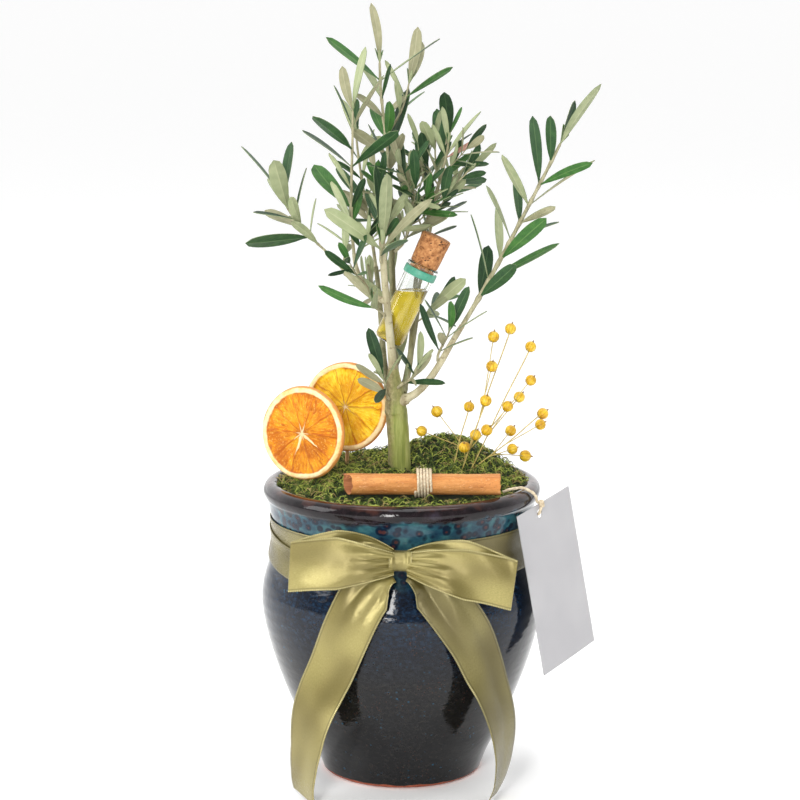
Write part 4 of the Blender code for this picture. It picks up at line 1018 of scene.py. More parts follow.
def bark_rows(limb, fine, relief_depth, sunk, flare, parent_radius):
    """Rings of a limb with lengthwise ridges, small lumps and a collar where it leaves its parent."""
    centres = rooted_line(limb, sunk, fine)
    last = len(centres) - 1
    radii = []
    for index in range(len(centres)):
        share = max(0.0, (index - fine) / (last - fine))
        _, _, radius = limb.at(share)
        if parent_radius:
            radius += (parent_radius - radius) * math.exp(-share / 0.06)
        radii.append(radius * (1.0 + flare * math.exp(-share / 0.035)))

    def shape(angle, run, centre):
        ridge = noise.noise(polar(angle, 2.2, centre.z * 90.0))
        lump = noise.noise(polar(angle, 0.8, run * 260.0))
        grain = noise.noise(polar(angle, 6.0, run * 700.0))
        return 1.0 + relief_depth * (ridge * 0.6 + lump * 0.7 + grain * 0.35)

    return tube_rows(centres, radii, BARK_SIDES, shape)


def trunk_material():
    """Smooth young bark: green with soft lengthwise streaks and brown-grey scurf."""
    material, tree, shader = start_material("trunk_bark", srgb(98, 112, 54), 0.66)
    streak = spread(tree, 330.0, 5.0, 0.6, (1.0, 1.0, 0.10))
    colour = ramp(tree, streak, ((0.30, srgb(100, 112, 48)), (0.50, srgb(136, 146, 68)),
                                 (0.72, srgb(174, 178, 108))))
    scurf = ramp(tree, spread(tree, 520.0, 6.0, 0.7, (1.0, 1.0, 0.6)),
                 ((0.34, srgb(92, 78, 50)), (0.55, srgb(146, 134, 98)), (0.72, srgb(186, 176, 142))))
    part = parts(tree, place(tree))
    side = plus(tree, part["X"], spread(tree, 210.0, 5.0, 0.7), 0.0060)
    colour = blend(tree, steps(tree, side, -0.0004, -0.0042), colour, scurf, 0.85)
    high = plus(tree, part["Z"], spread(tree, 160.0, 5.0, 0.7), 0.020)
    colour = blend(tree, steps(tree, high, 0.192, 0.204), colour, scurf, 0.55)
    colour = patched(tree, colour, srgb(168, 150, 106), 0.5, 0.62, 0.70, 1300.0, 3.0, 0.7)
    paint(tree, shader, colour)
    relief(tree, shader, spread(tree, 600.0, 6.0, 0.7, (1.0, 1.0, 0.30)), 0.0004)
    return material


def bough_material(name, dark, middle, light):
    """Bark of a bough, from its darkest to its palest patches, with brown scars."""
    dark, middle, light = srgb(*dark), srgb(*middle), srgb(*light)
    material, tree, shader = start_material(name, middle, 0.76)
    broad = spread(tree, 200.0, 5.0, 0.65, (1.0, 1.0, 0.30))
    colour = ramp(tree, broad, ((0.32, dark), (0.50, middle), (0.70, light)))
    scars = (330.0, 4.0, 0.6, (1.0, 1.0, 1.8))
    paint(tree, shader, patched(tree, colour, srgb(104, 86, 60), 0.7, 0.60, 0.68, *scars))
    relief(tree, shader, spread(tree, 620.0, 6.0, 0.7, (1.0, 1.0, 0.4)), 0.0004)
    return material


def make_limbs():
    limbs = {"trunk": Limb([Vector(row[:3]) for row in TRUNK], [row[3] for row in TRUNK])}
    for name, row in BOUGHS.items():
        limbs[name] = seated_limb(limbs, row[:7], BOUGH_RINGS, row[7] / row[6])
    cut = mottled("cut_wood", (120, 78, 48), (168, 124, 84), 700.0, 0.85, 0.0001)
    skin = Skin()
    rows = bark_rows(limbs["trunk"], 8, 0.075, 0.0, 0.0, 0.0)
    skin.closed([row for row in rows if row[0].z > TRUNK_CUT])
    piece("trunk_with_bark", skin, [trunk_material()], ("trunk",))
    pale = bough_material("pale_bark", (138, 126, 96), (172, 164, 132), (200, 194, 164))
    green = bough_material("green_bark", (92, 90, 62), (124, 122, 88), (154, 150, 118))
    for name, row in BOUGHS.items():
        bark = pale if name in PALE_BOUGHS else green
        on_tip = row[1] is None
        parent_radius = limbs[row[0]].at(1.0)[2] if on_tip else 0.0
        sunk = 0.0030 if on_tip else row[6] + 0.0012
        flare = 0.0 if on_tip else 0.45
        skin = Skin()
        skin.closed(bark_rows(limbs[name], 7, 0.06, sunk, flare, parent_radius), last_kind=1)
        piece(name + "_with_bark", skin, [bark, cut], (name,))
    return limbs


# Pot and moss


def pot_material():
    """Dark reactive glaze: a brown-black lip, a mottled teal neck, a navy belly, a bare clay foot."""
    material, tree, shader = start_material("pot_glaze", srgb(20, 26, 44), 0.08,
                                            Specular_IOR_Level=0.31)
    height = parts(tree, place(tree))["Z"]
    wander = times(tree, minus(tree, spread(tree, 80.0, 4.0), 0.5), 0.012)
    level = plus(tree, height, wander)

    fine = spread(tree, 420.0, 5.0, 0.7, (1.0, 1.0, 1.5))
    low = ramp(tree, fine, ((0.34, srgb(10, 10, 11)), (0.52, srgb(22, 22, 24)),
                            (0.70, srgb(36, 33, 30))))
    high = ramp(tree, fine, ((0.34, srgb(5, 9, 18)), (0.52, srgb(10, 23, 40)),
                             (0.70, srgb(24, 50, 74))))
    belly = blend(tree, steps(tree, level, 0.060, 0.096), low, high)
    clouds = steps(tree, spread(tree, 60.0, 5.0, 0.7, (1.0, 1.0, 2.6)), 0.54, 0.66)
    bubbles = times(tree, steps(tree, cells(tree, 430.0), 0.34, 0.10), clouds)
    belly = blend(tree, bubbles, belly, srgb(36, 88, 116))
    rust = times(tree, steps(tree, cells(tree, 560.0, (1.0, 1.1, 1.0)), 0.20, 0.08),
                 steps(tree, spread(tree, 70.0, 3.0), 0.48, 0.58))
    belly = blend(tree, rust, belly, srgb(70, 42, 32))

    neck = ramp(tree, spread(tree, 110.0, 5.0, 0.6, (1.0, 1.0, 1.4)),
                ((0.32, srgb(22, 42, 62)), (0.50, srgb(34, 70, 84)), (0.70, srgb(58, 106, 110))))
    blot = plus(tree, cells(tree, 205.0, (1.0, 1.0, 1.15)), spread(tree, 120.0, 3.0), 0.50)
    neck = blend(tree, steps(tree, blot, 0.76, 0.62), neck, srgb(13, 20, 38), 0.88)
    neck = blend(tree, steps(tree, blot, 0.45, 0.37), neck, srgb(74, 42, 40), 0.85)

    lip = ramp(tree, spread(tree, 150.0, 5.0, 0.6), ((0.34, srgb(12, 9, 12)),
                                                     (0.56, srgb(30, 22, 25)),
                                                     (0.76, srgb(52, 46, 56))))
    lip = blend(tree, steps(tree, level, 0.1496, 0.1520), lip, srgb(78, 44, 34), 0.65)
    colour = blend(tree, steps(tree, level, 0.108, 0.122), belly, neck)
    colour = blend(tree, steps(tree, level, 0.1415, 0.1440), colour, lip)
    clay = ramp(tree, spread(tree, 300.0, 5.0), ((0.3, srgb(140, 70, 48)),
                                                 (0.7, srgb(182, 100, 74))))
    bare = steps(tree, plus(tree, height, wander, 0.25), 0.0021, 0.0014)
    rough = plus(tree, times(tree, bare, 0.70), plus(tree, 0.03, fine, 0.10))
    paint(tree, shader, blend(tree, bare, colour, clay), rough)
    relief(tree, shader, spread(tree, 190.0, 4.0, 0.5, (1.0, 1.0, 2.2)), 0.00022, 0.6)
    return material


def make_pot():
    def wobble(angle, radius, height):
        slow = noise.noise(polar(angle, 1.3, height * 18.0))
        throwing = math.sin(height * 1150.0 + slow * 4.0) * 0.00007
        return slow * 0.00022 + (throwing if radius > 0.05 else 0.0)

    skin = Skin()
    skin.closed(turned_rows(smooth(POT_INSIDE + POT_OUTLINE, 5), POT_AROUND, wobble), flip=True)
    for point in skin.points:
        point.z = max(point.z, 0.0)
    piece("pot_glazed", skin, [pot_material()], ("pot",))


def moss_height(x, y):
    """Height of the moss: a low dome that rises to the back, with a hump behind the trunk."""
    reach = math.hypot(x, y) / MOSS_RADIUS
    height = MOSS_EDGE + MOSS_DOME * (1.0 - reach ** 2) + MOSS_BACK_RISE * (y / MOSS_RADIUS)
    from_hump = (Vector((x, y)) - MOSS_HUMP_PLACE).length / MOSS_HUMP_WIDTH
    return height + MOSS_HUMP * math.exp(-0.5 * from_hump ** 2)


def in_stick_bed(x, y, z):
    beside = STICK_RADIUS + STICK_BED_GAP
    return (abs(y - STICK_CENTRE.y) < beside and z > STICK_CENTRE.z - beside
            and abs(x - STICK_CENTRE.x) < STICK_LENGTH / 2.0 + 0.0008)


def moss_strand(chance):
    """Centre line of one strand, wandering over the clumps of the moss."""
    reach = MOSS_SPREAD * math.sqrt(chance.random())
    angle = chance.uniform(0.0, 2.0 * math.pi)
    x, y = reach * math.cos(angle), reach * math.sin(angle)
    heading = chance.uniform(0.0, 2.0 * math.pi)
    turn = chance.uniform(-0.55, 0.55)
    climb = chance.uniform(0.0, 0.0034)
    step = chance.uniform(0.0007, 0.0015)
    line = []
    for index in range(6):
        clump = noise.noise(Vector((x * 120.0, y * 120.0, 2.0)))
        lift = climb * math.sin(math.pi * (index + 0.5) / 6.0) + 0.0016 * max(-0.3, clump)
        z = moss_height(x, y) + lift + chance.uniform(-0.0003, 0.0004)
        for outer, lowest in MOSS_OVER_LIP:
            if math.hypot(x, y) > outer:
                z = max(z, lowest)
        line.append(Vector((x, y, z)))
        x += step * math.cos(heading)
        y += step * math.sin(heading)
        heading += turn * chance.uniform(0.2, 1.0)
    return line, climb


def moss_blocked(centre):
    trunk_x, trunk_radius, lowest = MOSS_AT_TRUNK
    from_trunk = math.hypot(centre.x - trunk_x, centre.y)
    return (in_stick_bed(*centre) or math.hypot(centre.x, centre.y) > MOSS_LIMIT
            or (from_trunk < trunk_radius and centre.z > lowest))


def make_moss():
    """Feathery strands over the moss bed: dark ones low and bright ones proud of them, partly the moss's
    own tints and partly painted shade deep in the mat and painted light on its top.
    """
    chance = random.Random(MOSS_SEED)
    strands, leaflets = Skin(), Skin()
    for _ in range(MOSS_STRANDS):
        line, climb = moss_strand(chance)
        if any(moss_blocked(centre) for centre in line):
            continue
        # Low strands take the darker tints: partly painted shade deep in the mat
        deep = climb < 0.0012
        kind = chance.choice((0, 0, 1)) if deep else chance.choice((0, 1, 1, 2, 2, 3))
        width = chance.uniform(0.00014, 0.00028)
        radii = [width * share for share in (0.7, 1.0, 1.0, 0.9, 0.7, 0.3)]
        strands.grid(tube_rows(line, radii, 3), kind, around=True)
        for index in range(1, 5):
            along = (line[index + 1] - line[index]).normalized()
            for side in (-1.0, 1.0):
                out = along.cross(UP) * side + UP * chance.uniform(0.1, 0.8)
                tip = line[index] + (along * 0.8 + out) * chance.uniform(0.0006, 0.0012)
                foot = line[index] + along * 0.00035
                lower = line[index] - UP * 0.00012
                leaflets.add([line[index], foot, tip, lower],
                             [(0, 1, 2), (3, 2, 1), (0, 2, 3), (0, 3, 1)], kind)
    tints = [mottled(name, dark, light, 300.0, rough, 0.00005)
             for name, (dark, light, rough) in MOSS_TINTS.items()]
    piece("moss_strands", strands, tints)
    piece("moss_leaflets", leaflets, tints, smooth=False)
    grounds = {
        # The bed under the strands is nearly black-green: painted shade in the gaps between them
        "moss_bed": mottled("moss_ground", (18, 24, 9), (44, 56, 22), 420.0, 0.95, 0.0012),
        "soil": mottled("potting_soil", (30, 20, 14), (70, 50, 36), 350.0, 0.95, 0.0010),
    }
    for name, ground in grounds.items():
        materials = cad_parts[name].data.materials
        materials.clear()
        materials.append(ground)


# Bottle of oil


def make_glass(stand):
    """A thin-walled vial with a rolled lip."""
    wall = BOTTLE_RADIUS
    inner = wall - BOTTLE_WALL
    lip = wall + 0.0006
    top = BOTTLE_HEIGHT
    outline = ((0.00005, 0.0012), (inner - 0.0020, 0.0014), (inner - 0.0006, 0.0022),
               (inner, 0.0034), (inner, 0.0200), (inner, top - 0.0030), (inner, top - 0.0004),
               (inner + 0.0004, top), (lip - 0.0004, top), (lip, top - 0.0005),
               (lip, top - 0.0014), (wall, top - 0.0021), (wall, top - 0.0060), (wall, 0.0200),
               (wall, 0.0026), (wall - 0.0008, 0.0007), (wall - 0.0026, 0.0), (0.00005, 0.0))
    skin = Skin()
    skin.closed(turned_rows(outline, BOTTLE_AROUND), flip=True)
    glass, _, _ = start_material("clear_glass", (0.96, 0.98, 0.96, 1.0), 0.015,
                                 Transmission_Weight=1.0, IOR=1.48)
    piece("bottle_of_glass", skin, [glass], ("bottle_glass",), matrix=stand)


def make_oil(stand):
    """Oil that fills the vial to a level surface, which creeps up a little at the glass."""
    inner = BOTTLE_RADIUS - BOTTLE_WALL
    fill = inner + 0.00008
    level = stand.inverted() @ Vector((BOTTLE_FOOT.x, BOTTLE_FOOT.y, OIL_LEVEL))
    upward = stand.inverted().to_3x3() @ UP
    rows = turned_rows(((0.0002, 0.0013), (inner - 0.0020, 0.0014), (fill - 0.0005, 0.0023),
                        (fill, 0.0034), (fill, 0.0120), (fill, 0.0200)), BOTTLE_AROUND)
    for reach in (fill, fill - 0.0004, fill * 0.6, 0.0003):
        ring = []
        for angle in turns_of(BOTTLE_AROUND):
            spot = polar(angle, reach)
            slope = (spot.x - level.x) * upward.x + (spot.y - level.y) * upward.y
            spot.z = level.z - slope / upward.z + 0.0005 * (reach / fill) ** 8
            ring.append(spot)
        rows.append(ring)
    skin = Skin()
    skin.closed(rows)
    oil, _, _ = start_material("golden_oil", srgb(242, 216, 66), 0.05,
                               Transmission_Weight=0.58, IOR=1.22)
    piece("oil_in_bottle", skin, [oil], ("bottle_oil",), matrix=stand)


def cork_material():
    material, tree, shader = start_material("cork", srgb(205, 150, 100), 0.86)
    grain = ramp(tree, spread(tree, 480.0, 5.0, 0.65), ((0.34, srgb(122, 72, 40)),
                                                        (0.48, srgb(176, 118, 70)),
                                                        (0.68, srgb(208, 154, 100))))
    pores = times(tree, steps(tree, cells(tree, 480.0, (1.0, 1.0, 1.7)), 0.34, 0.24),
                  steps(tree, spread(tree, 300.0, 2.0), 0.47, 0.55))
    paint(tree, shader, blend(tree, pores, grain, srgb(78, 46, 28)))
    relief(tree, shader, spread(tree, 1100.0, 5.0, 0.7), 0.0003)
    return material


def make_cork(stand):
    """A cork that widens above the vial's mouth, with small pits."""
    top = BOTTLE_HEIGHT
    high = top + CORK_HEIGHT
    outline = ((0.0003, high), (0.0050, high), (0.0068, high - 0.0001), (0.0075, high - 0.0005),
               (0.0077, high - 0.0013), (0.0076, high - 0.0060), (0.0074, top + 0.0040),
               (0.0072, top + 0.0006), (0.0067, top - 0.0002), (0.0066, top - 0.0040),
               (0.0060, top - CORK_DEPTH), (0.0003, top - CORK_DEPTH))

    def pits(angle, radius, height):
        pit = max(0.0, noise.noise(polar(angle, radius, height) * 900.0) - 0.22)
        return -pit * 0.0008 if height > top and radius > 0.004 else 0.0

    skin = Skin()
    skin.closed(turned_rows(smooth(outline, 3), BOTTLE_AROUND, pits), flip=True)
    piece("cork_stopper", skin, [cork_material()], ("bottle_cork",), matrix=stand)


def make_bottle():
    """Glass vial, golden oil, speckled cork and mint band, each in the bottle's leaning frame."""
    stand = Matrix.Translation(BOTTLE_FOOT) @ Matrix.Rotation(BOTTLE_LEAN, 4, "Y")
    make_glass(stand)
    make_oil(stand)
    make_cork(stand)
    low, high = BOTTLE_HEIGHT - 0.0064, BOTTLE_HEIGHT - 0.0024
    hug = BOTTLE_RADIUS + GAP
    outline = ((hug, low), (hug + 0.0004, low), (hug + 0.0006, low + 0.0004),
               (hug + 0.0006, high - 0.0004), (hug + 0.0004, high), (hug, high))
    skin = Skin()
    skin.grid(turned_rows(outline, BOTTLE_AROUND), around=True, ring=True)
    mint = mottled("mint_band", (62, 142, 118), (90, 168, 142), 500.0, 0.42, 0.00006)
    piece("band_round_bottle", skin, [mint], ("bottle_band",), matrix=stand)


# Dried orange, picks, cinnamon and flax


def slice_matrix(centre, turn, lean):
    """A slice lies flat in its own frame and is stood up facing the front."""
    stand = Matrix.Rotation(math.pi / 2.0 - lean, 4, "X")
    return Matrix.Translation(centre) @ Matrix.Rotation(turn, 4, "Z") @ stand


def orange_material(name, deep, light, lit, star_reach):
    """Dried flesh in juice sacs, dark walls between segments, and a cream pith ring and star."""
    deep, light, lit = srgb(*deep), srgb(*light), srgb(*lit)
    material, tree, shader = start_material(
        name, light, 0.50, Specular_IOR_Level=0.25, Subsurface_Weight=0.06,
        Subsurface_Radius=(0.004, 0.0018, 0.0006), Subsurface_Scale=1.0)
    spot = unwrapped(tree)
    part = parts(tree, spot)
    uneven = minus(tree, spread(tree, 110.0, 4.0, 0.6), 0.5)
    segment = plus(tree, times(tree, part["X"], float(ORANGE_SEGMENTS)), uneven, 0.55)
    from_wall = minus(tree, 0.5, away(tree, maths(tree, "FRACT", segment)))
    from_wall = times(tree, from_wall, part["Y"])
    juice = spread(tree, 1.0, 4.0, 0.6, vector=stretched(tree, spot, (95.0, 5.0, 1.0)))
    # Juice sacs from deep to lit, with cloudy patches of the deep and the lit tone, the lit ones painted
    # light, and pale specks as painted glints
    flesh = ramp(tree, juice, ((0.30, deep), (0.48, light), (0.70, lit)))
    cloud = spread(tree, 105.0, 3.0, 0.55)
    flesh = blend(tree, steps(tree, cloud, 0.52, 0.38), flesh, deep, 0.60)
    flesh = blend(tree, steps(tree, cloud, 0.50, 0.64), flesh, lit, 0.55)
    flesh = patched(tree, flesh, srgb(255, 224, 124), 0.35, 0.56, 0.70, 900.0, 3.0, 0.7)
    wall = steps(tree, plus(tree, from_wall, uneven, 0.05), 0.038, 0.004)
    flesh = blend(tree, wall, flesh, ORANGE_WALL, 0.62)
    edge = plus(tree, part["Y"], uneven, 0.09)
    seam = times(tree, steps(tree, edge, 0.815, 0.860),
                 steps(tree, spread(tree, 140.0, 3.0), 0.42, 0.56))
    flesh = blend(tree, seam, flesh, ORANGE_WALL, 0.80)
    cream = ramp(tree, spread(tree, 240.0, 4.0), ((0.32, srgb(236, 192, 122)),
                                                  (0.64, srgb(250, 228, 180))))
    colour = blend(tree, steps(tree, edge, 0.862, 0.884), flesh, cream)
    nearest = maths(tree, "FLOOR", plus(tree, segment, 0.5))
    chance = put(tree, "ShaderNodeTexWhiteNoise", noise_dimensions="1D", W=nearest)
    long_arm = minus(tree, 1.0, away(tree, away(tree, nearest, STAR_SIDE), 1.0))
    arms = maths(tree, "MAXIMUM", long_arm, times(tree, chance.outputs["Value"], 0.45))
    star = minus(tree, plus(tree, edge, from_wall, 7.0), times(tree, arms, star_reach))
    star = plus(tree, star, minus(tree, spread(tree, 520.0, 3.0), 0.5), 0.20)
    colour = blend(tree, steps(tree, star, 0.100, 0.030), colour, srgb(250, 226, 176), 0.9)
    colour = blend(tree, steps(tree, edge, 0.958, 0.976), colour, srgb(216, 146, 78))
    paint(tree, shader, colour)
    relief(tree, shader, juice, 0.0006)
    return material


def add_orange_slice(skin, radius, seed):
    """A dried wheel: segments sunk between their walls, with a proud rind and a slightly uneven rim."""
    around = 24 * ORANGE_SEGMENTS
    half = SLICE_THICKNESS / 2.0
    reaches = (0.02, 0.06, 0.10, 0.14, 0.18, 0.24, 0.32, 0.42, 0.52, 0.62, 0.72, 0.79, 0.84, 0.87,
               0.90, 0.93, 0.96, 0.985, 1.0)

    def face_row(reach, side):
        row = []
        for corner in range(around + 1):
            share = corner / around
            angle = 2.0 * math.pi * share
            rim = noise.noise(polar(angle, 1.0, seed * 1.7) * 1.6)
            rim = radius * (1.0 - 0.012 + 0.012 * rim)
            wall = abs((share * ORANGE_SEGMENTS) % 1.0 - 0.5) * 2.0
            open_flesh = 1.0 - math.exp(-((1.0 - wall) * reach / 0.10) ** 2)
            inside = 1.0 if 0.16 < reach < 0.86 else 0.0
            rough = noise.noise(polar(angle, reach * 7.0, seed + side))
            sink = inside * open_flesh * (0.40 + 0.35 * rough)
            shoulder = max(0.0, (reach - 0.93) / 0.07)
            high = half * (0.86 - sink * 0.75 + 0.10 * max(0.0, 1.0 - abs(reach - 0.93) / 0.06))
            high *= math.sqrt(max(0.0, 1.0 - shoulder ** 2.4))
            row.append(polar(angle, rim * reach, side * high))
        return row

    spots = [[(corner / around, reach) for corner in range(around + 1)] for reach in reaches]
    for side, flip in ((1.0, False), (-1.0, True)):
        skin.grid([face_row(reach, side) for reach in reaches], flip=flip, spots=spots)
    for side, flip in ((1.0, False), (-1.0, True)):
        skin.cap(face_row(reaches[0], side)[:-1], flip=flip)


def make_oranges():
    flesh = {name: orange_material("orange_" + name, *row) for name, row in ORANGE_FLESH.items()}
    wood = mottled("pick_wood", (190, 150, 104), (226, 194, 150), 260.0, 0.7, 0.0001,
                   stretch=(1.0, 1.0, 0.15))
    for seed, (name, (centre, radius, turn, lean)) in enumerate(SLICES.items()):
        stand = slice_matrix(centre, turn, lean)
        skin = Skin()
        add_orange_slice(skin, radius, seed)
        piece("orange_wheel_" + name, skin, [flesh[name]], ("orange_slice_" + name,),
              matrix=stand)
        turned_in = stand.to_3x3()
        facing, down = turned_in @ UP, turned_in @ FRONT
        behind = centre - facing * (SLICE_THICKNESS / 2.0 + PICK_RADIUS + GAP)
        high = behind - down * radius * 0.30
        low = behind + down * radius * 0.5
        while low.z > moss_height(low.x, low.y) - PICK_DEPTH:
            low += down * 0.0005
        line = smooth((low, low.lerp(high, 0.5), high), 10)
        skin = Skin()
        add_tube(skin, line, [PICK_RADIUS * 0.96] * len(line), 20)
        piece("pick_" + name, skin, [wood], ("orange_pick_" + name,))


def cinnamon_materials():
    """The bark's outside, streaked, worn and specked, and its plainer inside."""
    outside, tree, shader = start_material("cinnamon_outside", srgb(206, 136, 80), 0.72)
    streak = spread(tree, 300.0, 6.0, 0.7, (0.14, 1.0, 1.0))
    colour = ramp(tree, streak, ((0.28, srgb(180, 106, 50)), (0.48, srgb(208, 138, 72)),
                                 (0.72, srgb(228, 164, 96))))
    for tint, weight, low, high, grain in (
            ((174, 104, 56), 0.45, 0.56, 0.66, (90.0, 5.0, 0.65, (0.5, 1.0, 1.0))),
            ((160, 88, 42), 0.55, 0.56, 0.66, (1500.0, 3.0, 0.7, (0.5, 1.0, 1.0))),
            ((248, 200, 146), 0.50, 0.58, 0.68, (1100.0, 3.0, 0.7, (0.4, 1.0, 1.0)))):
        colour = patched(tree, colour, srgb(*tint), weight, low, high, *grain)
    paint(tree, shader, colour)
    relief(tree, shader, spread(tree, 420.0, 6.0, 0.7, (0.12, 1.0, 1.0)), 0.0008)
    inside = mottled("cinnamon_inside", (138, 80, 46), (198, 130, 82), 320.0, 0.8, 0.0003,
                     stretch=(0.15, 1.0, 1.0))
    return [outside, inside]


def quill_rows(stations, count):
    """Rows of the quill's outer and inner face, along the stick and round its curl."""
    outer, inner = [], []
    for station in range(stations + 1):
        along = station / stations
        high_row, low_row = [], []
        for index in range(count + 1):
            share = index / count
            angle = math.radians(-205.0 + 410.0 * share)
            inward = abs(share - 0.5) * 2.0
            curl = max(0.0, inward - 0.62) / 0.38
            wave = Vector((along * 7.0, math.sin(angle) * 1.4, math.cos(angle) * 1.4))
            fine = Vector((along * 12.0, math.sin(angle) * 9.0, math.cos(angle) * 9.0))
            uneven = noise.noise(wave) * 0.00018 + noise.noise(fine) * 0.00009 - 0.0001
            reach = STICK_RADIUS - STICK_WALL / 2.0 - 0.0029 * curl ** 0.8 + uneven
            x = STICK_LENGTH * (along - 0.5) * 0.992
            cut = max(0.0, 1.0 - along / 0.12) * STICK_SLANT
            x += cut * (0.5 + 0.5 * math.sin(-angle) * (1.0 - 0.3 * curl))
            if station in (0, stations):
                x += noise.noise(Vector((angle * 2.4, 3.0, along))) * 0.0005
                x += noise.noise(Vector((angle * 9.0, 7.0, along))) * 0.0003
            wall = STICK_WALL * (0.46 + 0.06 * noise.noise(wave * 2.0))
            high_row.append(round_stick(x, reach + wall, angle))
            low_row.append(round_stick(x, reach - wall, angle))
        outer.append(high_row)
        inner.append(low_row)
    return outer, inner


def round_stick(x, reach, angle):
    """Point at a distance from the stick's axis, at an angle from its underside."""
    return Vector((x, reach * math.sin(angle), -reach * math.cos(angle)))


def make_cinnamon():
    """A quill of bark rolled in from both edges, bound with five turns of twine."""
    outer, inner = quill_rows(60, 72)
    skin = Skin()
    skin.grid(outer, 0)
    skin.grid(inner, 1, flip=True)
    for station, flip in ((0, False), (-1, True)):
        skin.grid([inner[station], outer[station]], 1, flip=flip)
    for column, flip in ((0, True), (-1, False)):
        skin.grid([[row[column] for row in inner], [row[column] for row in outer]], 1, flip=flip)
    turn = Matrix.Rotation(STICK_TURN, 4, "Z")
    stand = Matrix.Translation(STICK_CENTRE) @ turn
    piece("cinnamon_quill", skin, cinnamon_materials(), ("cinnamon_stick",), matrix=stand)

    centres = []
    chance = random.Random(4)
    per_turn = 30
    for step in range(WRAP_TURNS * per_turn + 1):
        angle = 2.0 * math.pi * step / per_turn - 1.1
        x = WRAP_PITCH * (step / per_turn - WRAP_TURNS / 2.0) * 0.90
        x += chance.uniform(-0.00004, 0.00004)
        centres.append(round_stick(x, STICK_RADIUS + WRAP_PROUD, angle))
    skin = Skin()
    add_tube(skin, centres, [WRAP_TWINE] * len(centres), 14, 0, twisted(2, 0.22, TWINE_TWIST))
    for _ in range(60):
        spot = chance.choice(centres)
        add_hair(skin, spot, spot.normalized(), chance.uniform(0.0015, 0.0045), chance)
    stand = Matrix.Translation(STICK_CENTRE + Vector((0.0010, 0.0, 0.0))) @ turn
    piece("twine_round_cinnamon", skin, [twine_material()], ("cinnamon_twine",), matrix=stand)


def add_hair(skin, start, way, length, chance):
    """A loose fibre that leaves a twine and bends over."""
    bend = Vector((chance.uniform(-1.0, 1.0), chance.uniform(-1.0, 1.0), chance.uniform(-1.0, 0.6)))
    way = Vector((0.0, way.y, way.z)).normalized() if abs(way.x) < 0.9 else way
    line = [start + way * length * share * 0.5 + bend * length * share * share * 0.5
            for share in (0.0, 0.25, 0.5, 0.75, 1.0)]
    skin.grid(tube_rows(line, [0.00008, 0.00007, 0.00006, 0.00005, 0.00003], 3), around=True)


def twine_material():
    """Jute, made once for both pieces of twine."""
    made = bpy.data.materials.get("jute_twine")
    return made or mottled("jute_twine", (186, 166, 136), (236, 222, 194), 900.0, 0.9, 0.0003)


def flax_direction(lean, back):
    lean = math.radians(lean)
    back = math.tan(math.radians(back)) * math.cos(lean)
    return Vector((math.sin(lean), back, math.cos(lean))).normalized()


def add_pod(skin, centre, direction, chance):
    """A seed head: round and ribbed, with a short dry point and small sepals at its foot."""
    size = FLAX_POD * chance.uniform(1.02, 1.13)
    turn = direction.to_track_quat("Z", "Y").to_matrix()
    around, levels = 40, 16
    rows, spots = [], []
    for level in range(levels + 1):
        slope = math.pi * level / levels
        ring = []
        for angle in turns_of(around):
            groove = max(0.0, 1.0 - abs(math.sin(5.0 * angle)) / 0.35) * math.sin(slope)
            reach = math.sin(slope) * size * (1.0 - 0.07 * groove)
            ring.append(centre + turn @ polar(angle, reach, -math.cos(slope) * size * 0.96))
        rows.append(ring)
        spots.append([(10.0 * corner / around, level / levels) for corner in range(around)])
    skin.grid(rows, around=True, spots=spots)
    tip = centre + direction * size * 0.92
    add_tube(skin, [tip, tip + direction * size * 0.22, tip + direction * size * 0.46],
             [size * 0.20, size * 0.10, size * 0.02], 8, 1)
    foot = centre - direction * size * 1.02
    for angle in turns_of(5):
        out = turn @ polar(angle + 0.4, 1.0)
        across = direction.cross(out)
        rows = []
        for share in (0.0, 0.35, 0.7, 1.0):
            spot = centre - between(direction, -out, 0.30 + share * 0.75) * size * 1.03
            spot = foot.lerp(spot, min(1.0, share * 3.0))
            half = size * 0.22 * math.sin(math.pi * min(0.95, share + 0.15))
            rows.append([spot - across * half, spot + out * 0.00006, spot + across * half])
        skin.grid(rows, 2)


def husk_material():
    """Golden seed heads with brown seams and a brown tip."""
    material, tree, shader = start_material("flax_pod", srgb(222, 176, 44), 0.45)
    part = parts(tree, unwrapped(tree))
    tint = ramp(tree, spread(tree, 260.0, 4.0), ((0.30, srgb(186, 138, 16)),
                                                 (0.52, srgb(220, 178, 30)),
                                                 (0.74, srgb(240, 210, 76))))
    beside = away(tree, maths(tree, "FRACT", part["X"]))
    tint = blend(tree, steps(tree, beside, 0.40, 0.49), tint, srgb(140, 92, 20), 0.75)
    paint(tree, shader, blend(tree, steps(tree, part["Y"], 0.90, 0.97), tint, srgb(120, 80, 30)))
    relief(tree, shader, spread(tree, 900.0, 4.0), 0.0001)
    return material


def flax_line(start, end, fine):
    return smooth((start, start.lerp(end, 0.35), start.lerp(end, 0.7), end), fine)


